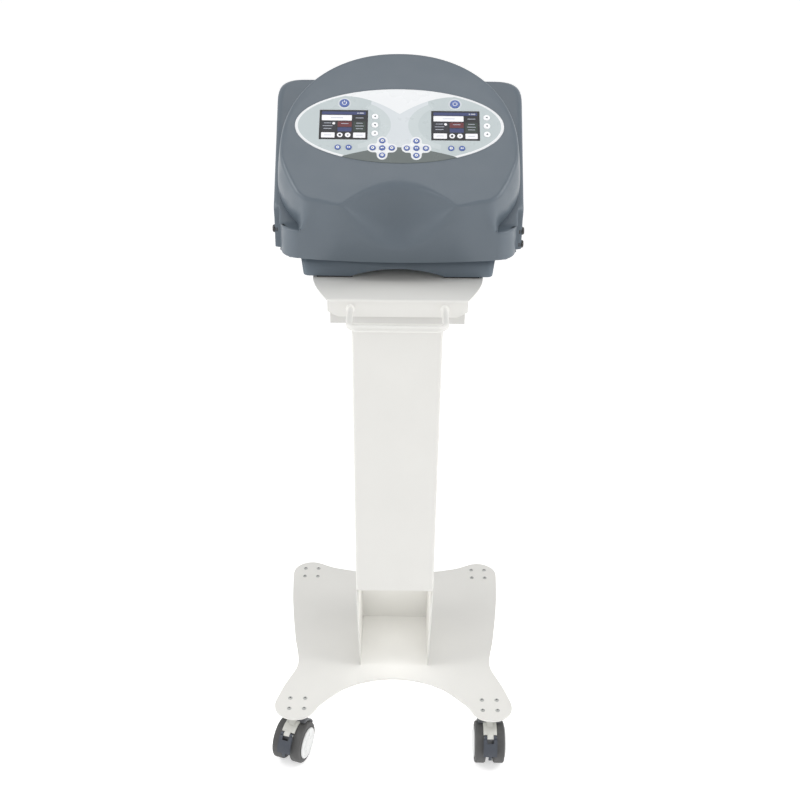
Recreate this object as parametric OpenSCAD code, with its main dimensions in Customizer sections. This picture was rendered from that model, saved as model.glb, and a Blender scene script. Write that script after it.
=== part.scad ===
// Hot and cold therapy machine: a moulded two-channel console on a wheeled sheet-metal trolley.
// X to the machine's left-right, -Y towards the user, Z up. The floor is z = 0 and the origin is
// below the middle of the four casters. Lengths are in millimetres.

/* [Trolley base] */
// half of the caster spacing across the machine
caster_x = 175; // [165:1:185]
// half of the caster spacing front to back
caster_y = 200; // [190:1:210]
// height of the base plate's underside above the floor
base_z = 102; // [100:1:106]
// thickness of the base plate
base_t = 4; // [3:0.5:6]
// radius of the lobes over the casters
lobe_r = 38; // [36:1:40]
// spacing of the four screws of a caster
screw_pitch = 27; // [25:1:29]

/* [Casters] */
// wheel diameter
wheel_d = 75; // [70:1:77]
// width of one wheel of the twin
wheel_w = 23; // [20:1:24]
// thickness of the web between the wheels
web_t = 11; // [9:1:12]
// offset of the axle from the swivel axis
trail = 20; // [16:1:24]
// radius of the axle
axle_r = 4; // [3:0.5:5]
// radius of the swivel stem
stem_r = 5; // [4:0.5:6]
// radial running clearance
run_c = 0.06; // [0.03:0.01:0.1]
// turn of the front left caster at rest, in degrees
rest_turn = 20; // [0:1:30]

/* [Column] */
// half width at the top
col_top = 75; // [70:1:78]
// half width where the front sheet ends
col_mid = 71; // [67:1:73]
// half width at the base plate
col_foot = 65; // [62:1:66]
// height of the front sheet's lower edge
col_open_z = 274; // [250:1:300]
// distance of the front face from the middle
col_front = 84; // [80:1:88]
// distance of the back face from the middle
col_back = 58; // [54:1:62]
// sheet thickness
sheet = 2.5; // [2:0.5:3]

/* [Head and tray] */
// height of the tray's top
tray_z = 860; // [850:1:870]
// half width of the tray
tray_w = 142; // [138:1:146]
// half width of the tray's front flange
tray_front_w = 113; // [110:1:116]
// distance of the tray's front edge from the middle
tray_front = 100; // [98:1:104]
// distance of the tray's rear edge from the middle
tray_rear = 232; // [228:1:236]
// height of the tray's flanges
flange_h = 29; // [26:1:32]
// depth of the head bracket below the tray
head_drop = 44; // [40:1:48]
// half width of the head bracket
head_w = 109; // [105:1:110]
// radius of the handle bar
bar_r = 5.25; // [4.5:0.25:6]
// reach of the handle in front of the flange
handle_reach = 76; // [70:1:80]
// half spacing of the handle legs
handle_w = 76; // [72:1:80]

/* [Console body] */
// half width of the console
con_w = 204; // [200:1:206]
// distance of the console's rear wall from the middle
con_rear = 235; // [232:1:240]
// height of the rear body's top above the tray
con_top = 271; // [268:1:274]
// height of the body's lower lip above the tray
lip_z = 38; // [36:1:40]
// slope of the control face
face_slope = 37; // [36:0.5:38]
// distance of the brow line in front of the middle
brow_y = 57; // [55:1:59]
// height of the brow line above the tray
brow_z = 149; // [147:1:151]
// depth of the raised face over the body behind it
face_depth = 75; // [73:1:77]
// height of the face's middle above the brow line, along the slope
face_mid = 100; // [98:1:102]
// rise of the face's apex above its middle, along the slope
face_rise = 200; // [198:1:201]
// wall thickness of the mouldings
wall = 3; // [2.5:0.5:3.5]

/* [Control panel] */
// half width of the elliptical panel
panel_a = 170; // [168:1:172]
// half height of the elliptical panel
panel_b = 74; // [72:1:75]
// distance of the panel's centre above the brow line, along the slope
panel_v = 149; // [148:1:150]
// thickness of the panel
panel_t = 3; // [2.5:0.5:3.5]
// radius of the power keys
power_r = 8; // [7:0.5:8.5]
// radius of the arrow keys
arrow_r = 5.5; // [5:0.25:6]
// radius of the round keys of the cross and below the screens
round_r = 5; // [4.4:0.1:5.4]
// height of a key above the panel
key_up = 1.2; // [1:0.1:1.6]
// travel of a key
key_travel = 0.7; // [0.5:0.1:0.8]
// clearance round a key and round a screen
key_c = 0.2; // [0.15:0.05:0.3]
// width of a screen's window
lcd_w = 79; // [78:0.5:80]
// height of a screen's window
lcd_h = 59.5; // [59:0.5:60]

/* [Hidden] */
$fn = 48;
plate_z = base_z + base_t;
head_z = tray_z - head_drop;
foot_front = col_front + 8;
wr = wheel_d / 2;
ax_z = wr;
gap_w = (web_t + 2) / 2;
disc_t = 2.5;
disc_r = wr - 9.5;
cz = cos(face_slope);
sz = sin(face_slope);
// point of the console in the machine's frame from face coordinates: across, up the slope, outward
function fp(u, v, w) = [u, -brow_y + v * cz - w * sz, tray_z + brow_z + v * sz + w * cz];
module on_face(u = 0, v = 0, w = 0) translate(fp(u, v, w)) rotate([face_slope, 0, 0]) children();
pan_w = con_w - 42;
// distance of the mains inlet's edge from the middle
inlet_x = con_w - 54;
// width of the water tank, which leaves the pump its place beside it
tank_w = 2 * pan_w - 174;
pan_draft = 4;
pan_round = 14;
face_w = con_w - 5;
top_round = 24;
port_y = 28;
pan_front = 9;
pan_rear = con_rear - 12;
foot_h = 3;
pan_side = con_w - 44;
corner_r = 40;
corner_y = 20;
rim_z = 93;
lcd_u = panel_a * 91 / 170;
lcd_v = panel_v + 1;
win_t = 0.6;

// keys: [across, up the slope, radius]
kp = [[-90.6, 193, power_r], [90.6, 193, power_r]];
ka = [for (s = [-1, 1]) for (k = [1, 0, -1]) [s * lcd_u + 51, panel_v + 0.5 + k * 16.7, arrow_r]];
kc = [for (s = [-1, 1]) for (d = [[0, 0], [0, 14.2], [0, -14.2], [-15.4, 0], [15.4, 0]]) [s * 27.5 + d[0], 104.3 + d[1], round_r]];
kt = [for (s = [-1, 1]) for (d = [-8.8, 8.8]) [s * 90.4 + d + (s > 0 ? 2 : 0), 104.8, round_r]];
keys = concat(kp, ka, kc, kt);

// ---------------------------------------------------------------- trolley base

function arc(c, r, a0, a1, n) = [for (i = [0:n]) [c[0] + r * cos(a0 + (a1 - a0) * i / n), c[1] + r * sin(a0 + (a1 - a0) * i / n)]];
function mir(p) = [for (i = [len(p) - 1:-1:0]) [-p[i][0], p[i][1]]];
sx = caster_x / 175;
sy = caster_y / 200;
half_base = concat(
  [for (q = [[0, -129], [34, -133], [66, -143], [95, -160], [118, -184]]) [q[0] * sx, q[1] * sy]],
  arc([caster_x + 2, -caster_y - 2], lobe_r + 1, 186, 385, 22),
  [for (q = [[203, -152], [192, -124], [184, -105], [181, -88], [184, -60], [192, -19], [201, 50], [208, 115], [211, 165]]) [q[0] * sx, q[1] * sy]],
  arc([caster_x, caster_y], lobe_r, 0, 128, 16),
  [for (q = [[130, 219], [92, 209], [46, 205], [0, 204]]) [q[0] * sx, q[1] * sy]]);
base_pts = concat(half_base, [for (p = mir(half_base)) if (abs(p[0]) > 0.01) p]);
screw_at = [for (i = [-1, 1]) for (j = [-1, 1]) [i * screw_pitch / 2, j * screw_pitch / 2]];
corners = [[-1, -1], [1, -1], [-1, 1], [1, 1]];
foot_bolt = [for (i = [-1, 1]) [i * 42, col_back + 12]];
head_bolt = [for (i = [-1, 1]) [i * 48, col_back - sheet - 12]];

module base_plate() {
  color([0.9, 0.9, 0.9])
  difference() {
    translate([0, 0, base_z]) linear_extrude(base_t) polygon(base_pts);
    for (c = corners) for (s = screw_at)
      translate([c[0] * caster_x + s[0], c[1] * caster_y + s[1], base_z - 1]) cylinder(r = 3.2, h = base_t + 2, $fn = 24);
    for (b = foot_bolt) translate([b[0], b[1], base_z - 1]) cylinder(r = 3.2, h = base_t + 2, $fn = 24);
  }
}

module caster_plates() {
  color([0.62, 0.63, 0.65])
  for (c = corners) translate([c[0] * caster_x, c[1] * caster_y, 0])
    difference() {
      union() {
        translate([-21, -21, base_z - 3]) cube([42, 42, 3]);
        translate([0, 0, base_z - 8]) cylinder(r = 14, h = 6);
      }
      translate([0, 0, base_z - 9]) cylinder(r = stem_r + run_c, h = 10);
      for (s = screw_at) translate([s[0], s[1], base_z - 9]) cylinder(r = 3.2, h = 10, $fn = 24);
    }
}

module caster_screws() {
  color([0.72, 0.73, 0.75])
  for (c = corners) for (s = screw_at)
    translate([c[0] * caster_x + s[0], c[1] * caster_y + s[1], plate_z]) {
      rotate_extrude($fn = 24) polygon([[0, 1.9], [1.8, 1.75], [3.3, 1.1], [4, 0], [3, 0], [3, -base_t - 3 - 4], [0, -base_t - 3 - 4]]);
      translate([0, 0, -base_t - 3 - 3.5]) difference() { cylinder(r = 4.4, h = 3.5, $fn = 24); translate([0, 0, -1]) cylinder(r = 2.5, h = 2, $fn = 24); }
    }
}

// ---------------------------------------------------------------- casters

// turn of each caster about its swivel at rest: front left, front right, rear left, rear right
turns = [-rest_turn, 0, 180, 180 - rest_turn];
module at_caster(i) translate([corners[i][0] * caster_x, corners[i][1] * caster_y, 0]) rotate([0, 0, turns[i]]) children();
module along_x(r, x0, x1) translate([x0, 0, 0]) rotate([0, 90, 0]) cylinder(r = r, h = x1 - x0);
function polar(c, r, a) = [c[0] + r * cos(a), c[1] + r * sin(a)];
hub = [-trail, ax_z];
cover_r0 = wr + 2.5;
cover_r1 = wr + 5.5;

module yz_plate(pts, x0, x1) translate([x0, 0, 0]) rotate([90, 0, 90]) linear_extrude(x1 - x0) polygon(pts);

module fork(braked) {
  difference() {
    union() {
      // swivel head and stem
      translate([0, 0, base_z - 8 - 6.3]) cylinder(r = 15, h = 6);
      translate([0, 0, base_z - 9]) cylinder(r = stem_r, h = 8);
      translate([0, 0, wr + 38]) cylinder(r = stem_r, h = base_z - 9 - wr - 38 + 0.1);
      // web between the wheels
      yz_plate(concat([[14, base_z - 9], [-13, base_z - 9], [hub[0] - 14, ax_z + wr - 1], [hub[0] - 22, ax_z + 18]], arc(hub, 13, 165, 330, 10), [[hub[0] + 22, ax_z + 14], [14, 72]]), -web_t / 2, web_t / 2);
      // cover over the wheels, behind the brake pedal or over the whole top
      yz_plate(concat(arc(hub, cover_r1, 20, braked ? 84 : 160, 12), arc(hub, cover_r0, braked ? 84 : 160, 20, 12)), -21, 21);
      // axle
      translate([0, hub[0], hub[1]]) along_x(axle_r, -gap_w - wheel_w + 1.5, gap_w + wheel_w - 1.5);
      if (braked) {
        // neck over the front of the wheels, and a lug that carries the pedal's pin
        yz_plate(concat(arc(hub, wr + 5, 83, 121, 8), arc(hub, wr + 2.2, 121, 83, 8)), -12, 12);
        yz_plate([polar(hub, wr - 8, 112), polar(hub, wr + 5, 116), polar(hub, wr + 8.2, 124), polar(hub, wr + 8.2, 132), polar(hub, wr + 2, 136), polar(hub, wr - 8, 142)], -web_t / 2, web_t / 2);
        translate([0, pivot_y, pivot_z]) along_x(1.8, -11.5, 11.5);
      }
    }
  }
}
pivot_a = 128;
pivot_y = polar(hub, wr + 6, pivot_a)[0];
pivot_z = polar(hub, wr + 6, pivot_a)[1];

module tyres() {
  for (s = [-1, 1]) translate([0, hub[0], hub[1]]) rotate([0, s * 90, 0]) translate([0, 0, gap_w])
    rotate_extrude($fn = 72) polygon([[axle_r + run_c, 0], [wr - 3, 0], [wr - 0.8, 1.2], [wr, 3.5], [wr, wheel_w - disc_t - 3.5], [wr - 0.8, wheel_w - disc_t - 1.2], [wr - 3, wheel_w - disc_t], [axle_r + run_c, wheel_w - disc_t]]);
}

module discs() {
  for (s = [-1, 1]) translate([0, hub[0], hub[1]]) rotate([0, s * 90, 0]) translate([0, 0, gap_w + wheel_w - disc_t])
    rotate_extrude($fn = 72) polygon([[axle_r + run_c, 0], [disc_r, 0], [disc_r, 1], [disc_r - 1.5, disc_t], [0, disc_t], [0, 1.3], [axle_r + run_c, 1.3]]);
}

module pedal() {
  difference() {
    union() {
      yz_plate(concat(arc(hub, wr + 8.4, 132, 173, 10), arc(hub, wr + 4.5, 173, 132, 10)), -12.2, 12.2);
      yz_plate(concat(arc(hub, wr + 7.4, 172, 184, 3), arc(hub, wr + 4.7, 184, 172, 3)), -3, 3);
      translate([0, pivot_y, pivot_z]) along_x(3.2, -11.5, 11.5);
    }
    // slot for the lug
    yz_plate([polar(hub, wr - 2, 118), polar(hub, wr + 12, 118), polar(hub, wr + 12, 142), polar(hub, wr - 2, 142)], -web_t / 2 - 0.3, web_t / 2 + 0.3);
    translate([0, pivot_y, pivot_z]) along_x(1.8 + run_c, -13, 13);
  }
}

module caster_fl_fork() { color([0.35, 0.35, 0.36]) at_caster(0) fork(true); }
module caster_fr_fork() { color([0.35, 0.35, 0.36]) at_caster(1) fork(true); }
module caster_rl_fork() { color([0.35, 0.35, 0.36]) at_caster(2) fork(false); }
module caster_rr_fork() { color([0.35, 0.35, 0.36]) at_caster(3) fork(false); }
module caster_fl_tyres() { color([0.3, 0.3, 0.31]) at_caster(0) tyres(); }
module caster_fr_tyres() { color([0.3, 0.3, 0.31]) at_caster(1) tyres(); }
module caster_rl_tyres() { color([0.3, 0.3, 0.31]) at_caster(2) tyres(); }
module caster_rr_tyres() { color([0.3, 0.3, 0.31]) at_caster(3) tyres(); }
module caster_fl_discs() { color([0.88, 0.88, 0.88]) at_caster(0) discs(); }
module caster_fr_discs() { color([0.88, 0.88, 0.88]) at_caster(1) discs(); }
module caster_rl_discs() { color([0.88, 0.88, 0.88]) at_caster(2) discs(); }
module caster_rr_discs() { color([0.88, 0.88, 0.88]) at_caster(3) discs(); }
module brake_fl() { color([0.26, 0.28, 0.31]) at_caster(0) pedal(); }
module brake_fr() { color([0.26, 0.28, 0.31]) at_caster(1) pedal(); }

// ---------------------------------------------------------------- column, head, tray, handle

module col_outline(inset) polygon([for (p = [[-col_top, head_z], [-col_mid, col_open_z], [-col_foot, plate_z], [col_foot, plate_z], [col_mid, col_open_z], [col_top, head_z]]) [p[0] - sign(p[0]) * inset, p[1]]]);
module col_prism(inset, y0, y1) translate([0, y1, 0]) rotate([90, 0, 0]) linear_extrude(y1 - y0) col_outline(inset);

module column_shell() {
  color([0.88, 0.88, 0.87])
  difference() {
    intersection() {
      col_prism(0, -foot_front, col_back);
      yz_plate([[col_back, plate_z - 1], [-foot_front, plate_z - 1], [-foot_front, plate_z], [-col_front, col_open_z], [-col_front, head_z], [col_back, head_z]], -col_top - 5, col_top + 5);
    }
    difference() {
      col_prism(sheet, -foot_front - 1, col_back + 1);
      translate([-200, -foot_front - 2, col_open_z]) cube([400, foot_front - col_front + sheet + 2, head_z]);
    }
    translate([-col_foot + sheet, -foot_front - 1, plate_z - 1]) cube([2 * (col_foot - sheet), foot_front, col_open_z - plate_z + 1]);
    // cable slot low in the right side
    translate([50, -40, plate_z + 26]) cube([30, 4, 22]);
  }
}

module column_back() {
  color([0.86, 0.86, 0.85])
  difference() {
    union() {
      col_prism(sheet, col_back - sheet, col_back);
      translate([-56, col_back - 0.5, plate_z]) cube([112, 24.5, sheet]);
      translate([-62, col_back - sheet - 24, head_z - sheet]) cube([124, 24.5, sheet]);
    }
    for (b = foot_bolt) translate([b[0], b[1], plate_z - 1]) cylinder(r = 3.2, h = sheet + 2, $fn = 24);
    for (b = head_bolt) translate([b[0], b[1], head_z - sheet - 1]) cylinder(r = 3.2, h = sheet + 2, $fn = 24);
  }
}

module column_bolts() {
  color([0.6, 0.61, 0.63]) {
    for (b = foot_bolt) translate([b[0], b[1], 0]) {
      translate([0, 0, plate_z + sheet]) cylinder(r = 5, h = 4, $fn = 24);
      translate([0, 0, base_z - 5]) cylinder(r = 3, h = base_t + sheet + 5.5, $fn = 24);
      translate([0, 0, base_z - 4]) cylinder(r = 5, h = 4, $fn = 24);
    }
    for (b = head_bolt) translate([b[0], b[1], 0]) {
      translate([0, 0, head_z - sheet - 4]) cylinder(r = 5, h = 4, $fn = 24);
      translate([0, 0, head_z - sheet - 0.5]) cylinder(r = 3, h = 2 * sheet + 5.5, $fn = 24);
      translate([0, 0, head_z + sheet]) cylinder(r = 5, h = 4, $fn = 24);
    }
  }
}

module head_bracket() {
  color([0.8, 0.8, 0.79])
  difference() {
    translate([-head_w, -tray_front + 8, head_z]) cube([2 * head_w, 210, head_drop - sheet]);
    translate([-head_w + sheet, -tray_front + 8 + sheet, head_z + sheet]) cube([2 * (head_w - sheet), 230, head_drop]);
    for (b = head_bolt) translate([b[0], b[1], head_z - 1]) cylinder(r = 3.2, h = sheet + 2, $fn = 24);
  }
}

function tray_pts(i) = let (w = tray_w - i, f = tray_front_w - i, y = -tray_front + i, r = tray_rear - i)
  concat([[-f, y]], [for (k = [1:5]) let (t = k / 6) [-f - (w - f) * (1 - pow(1 - t, 1.6)), y + (tray_front - 2) * t]], [[-w, -2 + i], [-w, r], [w, r], [w, -2 + i]],
    [for (k = [5:-1:1]) let (t = k / 6) [f + (w - f) * (1 - pow(1 - t, 1.6)), y + (tray_front - 2) * t]], [[f, y]]);

module tray() {
  color([0.9, 0.9, 0.89])
  difference() {
    translate([0, 0, tray_z - flange_h]) linear_extrude(flange_h) polygon(tray_pts(0));
    translate([0, 0, tray_z - flange_h - 1]) linear_extrude(flange_h + 1 - sheet) polygon(tray_pts(sheet));
    // the flared sides have no flange, and the front flange's lower corners are cut off
    translate([-tray_w - 1, -tray_front + sheet, tray_z - flange_h - 1]) cube([2 * tray_w + 2, tray_front + 60 - sheet, flange_h + 1 - sheet]);
    for (s = [-1, 1]) translate([s * tray_front_w, -tray_front - 1, tray_z - flange_h]) rotate([0, 45, 0]) translate([-9, 0, -9]) cube([18, sheet + 3, 18]);
    for (s = [-1, 1]) translate([s * handle_w, -tray_front - 1, tray_z - 15]) rotate([-90, 0, 0]) cylinder(r = 3.2, h = sheet + 2, $fn = 24);
  }
}

bend_r = 16;
module handle() {
  color([0.92, 0.92, 0.91]) translate([0, -tray_front, tray_z - 15]) {
    for (s = [-1, 1]) {
      translate([s * handle_w, 0, 0]) rotate([90, 0, 0]) cylinder(r = bar_r, h = handle_reach - bend_r);
      translate([s * handle_w, sheet + 4, 0]) rotate([90, 0, 0]) cylinder(r = 3, h = sheet + 4.5, $fn = 24);
      translate([s * handle_w, sheet + 4, 0]) rotate([90, 0, 0]) cylinder(r = 5, h = 4, $fn = 24);
      translate([s * (handle_w - bend_r), -handle_reach + bend_r, 0]) rotate([0, 0, s > 0 ? -90 : 180])
        rotate_extrude(angle = 90) translate([bend_r, 0]) circle(r = bar_r);
    }
    translate([-handle_w + bend_r, -handle_reach, 0]) rotate([0, 90, 0]) cylinder(r = bar_r, h = 2 * (handle_w - bend_r));
  }
}

// ---------------------------------------------------------------- console: lower pan and feet

module pan_plan(i) {
  r = pan_round - min(i, 6);
  x = pan_w - i - r;
  y0 = -pan_front + i / 2 + r;
  y1 = pan_rear - i / 2 - r;
  polygon(concat(arc([-x, y0], r, 180, 270, 6), arc([x, y0], r, 270, 360, 6), arc([x, y1], r, 0, 90, 6), arc([-x, y1], r, 90, 180, 6)));
}
module base_pan() {
  z0 = tray_z + foot_h;
  color([0.34, 0.36, 0.39])
  difference() {
    union() {
      hull() {
        translate([0, 0, z0]) linear_extrude(1) pan_plan(pan_draft);
        translate([0, 0, tray_z + lip_z - 4]) linear_extrude(4) pan_plan(0);
      }
      translate([0, 0, tray_z + lip_z - 3]) linear_extrude(3) polygon([[-con_w + 54, -13], [con_w - 54, -13], [con_w - 24, -6], [con_w - 6, corner_y + 8], [con_w - 6, con_rear - 6], [-con_w + 6, con_rear - 6], [-con_w + 6, corner_y + 8], [-con_w + 24, -6]]);
    }
    translate([0, 0, z0 + wall + 14]) linear_extrude(lip_z) pan_plan(wall + 2);
    // finger arch under the front edge
    translate([0, -pan_front - 1, z0 - 216.5]) rotate([-90, 0, 0]) cylinder(r = 230, h = 46, $fn = 120);
    // air slots in the floor of the pan
    for (k = [-3:3]) translate([k * 16 - 3, 60, z0 - 1]) cube([6, 60, 30]);
  }
}

module rubber_feet() {
  color([0.07, 0.07, 0.07])
  for (s = [-1, 1]) for (y = [-4, pan_rear - 24]) translate([s * 106 - 30, y, tray_z]) cube([60, 16, foot_h]);
}

// ---------------------------------------------------------------- console: rear body

module plan_outline(i) {
  w = con_w - i;
  r = corner_r - i;
  polygon(concat([[-w, con_rear - i - 14], [-w, corner_y]],
    arc([-w + r, corner_y], r, 180, 270, 10), arc([w - r, corner_y], r, 270, 360, 10),
    [[w, con_rear - i - 14]], arc([w - 14, con_rear - i - 14], 14, 0, 90, 5), arc([-w + 14, con_rear - i - 14], 14, 90, 180, 5)));
}
module front_outline(i) {
  w = con_w - i;
  t = con_w - 1 - i;
  r = top_round - i;
  z1 = tray_z + con_top - i;
  polygon(concat([[-w, tray_z], [w, tray_z], [w, tray_z + 150]], arc([t - r, z1 - r], r, 0, 90, 8), arc([-t + r, z1 - r], r, 90, 180, 8), [[-w, tray_z + 150]]));
}
// side profile behind the sloping plane at depth d under the face, with the front edge e back
module side_outline(i, d, z0) {
  zr = rim_z - i;
  yr = -brow_y + ((zr - brow_z) * cz + d) / sz;
  zt = tray_z + con_top + 40;
  yf = y_face(zr, pan_side) + i;
  yl = y_face(lip_z - 5, pan_side) + i;
  polygon([[yr, tray_z + zr], [yf, tray_z + zr], [yl, tray_z + lip_z - 5], [con_rear + 40, tray_z + lip_z - 5], [con_rear + 40, zt], [-brow_y + (d + (con_top + 40 - brow_z) * cz) / sz, zt]]);
}
module body_solid(i, z0) {
  intersection() {
    translate([0, 0, z0]) linear_extrude(con_top) plan_outline(i);
    translate([0, con_rear + 50, 0]) rotate([90, 0, 0]) linear_extrude(400) front_outline(i);
    translate([-con_w - 10, 0, 0]) rotate([90, 0, 90]) linear_extrude(2 * con_w + 20) side_outline(i, face_depth + 0.02 + i, z0);
  }
}
vent = [for (k = [0:6]) k];
module rear_shell() {
  color([0.45, 0.48, 0.51])
  difference() {
    body_solid(0, tray_z + lip_z);
    body_solid(wall, tray_z + lip_z - 5);
    // opening under the raised face
    on_face(0, 0, -face_depth - 12) linear_extrude(40) polygon(seat_pts(9));
    // front opening that the face's lower part closes
    translate([-pan_side - 0.3, -100, tray_z]) cube([2 * pan_side + 0.6, 150, rim_z + 1]);
    for (k = vent) translate([20 + k * 18, con_rear - 20, tray_z + 150]) cube([7, 40, 60]);
    // sockets at the back and at the sides
    translate([-inlet_x, con_rear - 20, tray_z + 62]) cube([46, 40, 28]);
    translate([-con_w - 10, port_y, tray_z + 73]) rotate([0, 90, 0]) cylinder(r = 5, h = 30, $fn = 32);
    for (z = [73, 50]) translate([con_w - 20, port_y, tray_z + z]) rotate([0, 90, 0]) cylinder(r = 5, h = 30, $fn = 32);
  }
}

// ---------------------------------------------------------------- console: raised face

// the four stretches of half of the rim, from the apex down to the middle of the lower lip
nA = 30;
nB = 12;
nC = 5;
nD = 14;
function se(c, e) = sign(c) * pow(abs(c), e);
// upper crease and the rim on the body plane, as face coordinates [u, v, w]
function fA(k) = let (a = 90 - 90 * k / nA, e = 2 / 2.1) [face_w * se(cos(a), e), face_mid + face_rise * se(sin(a), e)];
// lower side of the crease, from the face's widest line down to the brow corner
crB = [[188, 100], [187.2, 90], [185, 80], [181.8, 70], [178, 60], [174, 50], [169.6, 40], [165, 31], [160.6, 22], [156, 15.5], [150.5, 10], [144, 6], [136, 3.6]];
arch_w = 92;
arch_h = 36;
function crease(k) =
  k <= nA ? let (p = fA(k), s = pow(k / nA, 2)) [p[0] - 7 * s, p[1]] :
  k <= nA + nB ? let (q = crB[k - nA]) [q[0] * face_w / 195, q[1] * face_mid / 100] :
  let (t = (k - nA - nB) / (nC + nD), u = 136 * face_w / 195 * (1 - t))
    [u, brow_v(abs(u))];
// height of the brow's crease on the face: it falls from the corner to the foot of the arch, then rises over the scoop
function brow_v(u) = u < arch_w ? -5.4 + arch_h * (1 - pow(u / arch_w, 2)) : -5.4 + 9 * ease((u - arch_w) / (136 * face_w / 195 - arch_w));
function ease(t) = t * t * (3 - 2 * t);
function clip(t) = min(max(t, 0), 1);
// outer rim in face coordinates for the part on the body plane, else on the lower lip
// the front skin leans back from the brow, more at the sides, and its top corners are drawn back
function y_face(z, u) = -brow_y - 4 + (28 + 14 * pow(u / pan_side, 2)) * (brow_z - z) / (brow_z - lip_z) + 8 * ease(clip((abs(u) - 95) / 50)) * (z - lip_z) / (brow_z - lip_z);
function to_uvw(x, y, z) = [x, (y + brow_y) * cz + (z - brow_z) * sz, -(y + brow_y) * sz + (z - brow_z) * cz];
p_rim = to_uvw(pan_side, y_face(rim_z, pan_side), rim_z);
p_seat = to_uvw(pan_side + 3, -brow_y + ((rim_z - brow_z) * cz + face_depth) / sz, rim_z);
function rim(k) =
  k <= nA ? let (p = fA(k)) [p[0], p[1], -face_depth] :
  k <= nA + nB ? let (t = (k - nA) / nB, q0 = [face_w, face_mid, -face_depth], q1 = [face_w - 0.5, 70, -face_depth])
      (t < 0.25 ? mix(q0, q1, t / 0.25) : t < 0.85 ? mix(q1, p_seat, (t - 0.25) / 0.6) + [5 * sin(180 * (t - 0.25) / 0.6), 0, 0] : mix(p_seat, p_rim, (t - 0.85) / 0.15)) :
  k <= nA + nB + nC ? let (t = (k - nA - nB) / nC, z = rim_z + (lip_z - rim_z) * t) to_uvw(pan_side, y_face(z, pan_side), z) :
  let (t = (k - nA - nB - nC) / nD, u = pan_side * (1 - t)) to_uvw(u, y_face(lip_z, u), lip_z);
nH = nA + nB + nC + nD;
function flip(p, s) = [s * p[0], p[1], p[2]];
function seat_pts(i) = concat(
  [for (k = [0:nA + nB]) let (p = rim(k), s = 1 - i / 190) [p[0] * s, face_mid + (p[1] - face_mid) * s]],
  [for (k = [nA + nB:-1:1]) let (p = rim(k), s = 1 - i / 190) [-p[0] * s, face_mid + (p[1] - face_mid) * s]]);
// panel opening on the face, index k of the same half
function open_pt(k, a, b, w) = let (c = crease(k), t = atan2((c[1] - panel_v) / b, c[0] / a)) [a * cos(t), panel_v + b * sin(t), w];
function c3(k, w) = let (c = crease(k)) [c[0], c[1], w];
function mix(p, q, t) = p + (q - p) * t;
// a point of the wall between crease and rim, t from 0 to 1, with the scoop under the arch
scoop_z = 66;
scoop_sag = 8;
function z_scoop(u) = abs(u) < arch_w ? min(scoop_z + (brow_z - scoop_z) * pow(u / arch_w, 2), brow_z - 9) : brow_z - 9;
function on_front(u, z) = to_uvw(u, y_face(z, u), z);
function wall_pt(k, t) = let (c = c3(k, 0), r = rim(k), u = c[0])
  k > nA + nB + nC ? (t < 0.6 ? mix(c, on_front(u, z_scoop(u)), t / 0.6) + scoop_sag * max(0, 1 - pow(u / arch_w, 2)) * sin(300 * t) * [0, cz, -sz] : let (s = (t - 0.6) / 0.4) on_front(u + (r[0] - u) * s, z_scoop(u) + (lip_z - z_scoop(u)) * s)) :
  k > nA + nB ? let (z1 = rim_z + (lip_z - rim_z) * (k - nA - nB) / nC) on_front(u + (r[0] - u) * t, brow_z - 1 + (z1 - brow_z + 1) * t) :
  mix(c, r, t) + [(k <= nA ? 2 * k / nA : 2 + 3 * sin(180 * (k - nA) / nB)) * sin(180 * t), 0, 0];
function shrink(p, i) = [p[0] * (1 - i / 185), panel_v + (p[1] - panel_v) * (1 - i / 150), p[2]];
function ring(k) = [
  open_pt(k, panel_a + 0.6, panel_b + 0.6, 0),
  mix(open_pt(k, panel_a + 0.6, panel_b + 0.6, 0), c3(k, 0), 0.5),
  mix(open_pt(k, panel_a, panel_b, 0), c3(k, 0), 0.95),
  wall_pt(k, 0.02), wall_pt(k, 0.2), wall_pt(k, 0.4), wall_pt(k, 0.6), wall_pt(k, 0.8), rim(k),
  shrink(rim(k), 3.2), shrink(wall_pt(k, 0.8), 3.2), shrink(wall_pt(k, 0.6), 3.2), shrink(wall_pt(k, 0.4), 3.2), shrink(wall_pt(k, 0.2), 3.4),
  mix(open_pt(k, panel_a - 5, panel_b - 5, -wall - 2.5), c3(k, -wall - 2.5), 0.85),
  open_pt(k, panel_a - 5, panel_b - 5, -wall - 2.5),
  open_pt(k, panel_a - 5, panel_b - 5, -panel_t - 0.02),
  open_pt(k, panel_a + 0.6, panel_b + 0.6, -panel_t - 0.02)];

module front_shell() {
  ks = concat([for (k = [0:nH]) [k, 1]], [for (k = [nH - 1:-1:1]) [k, -1]]);
  n = len(ks);
  m = len(ring(0));
  pts = [for (q = ks) for (p = ring(q[0])) fp(q[1] * p[0], p[1], p[2])];
  faces = [for (i = [0:n - 1]) for (j = [0:m - 1]) for (h = [0, 1])
    let (i2 = (i + 1) % n, j2 = (j + 1) % m, a = i * m + j, b = i2 * m + j, c = i2 * m + j2, d = i * m + j2)
      h == 0 ? [a, b, c] : [a, c, d]];
  color([0.46, 0.49, 0.52]) polyhedron(points = pts, faces = faces, convexity = 6);
}

// ---------------------------------------------------------------- console: control panel, screens, keys

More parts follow.
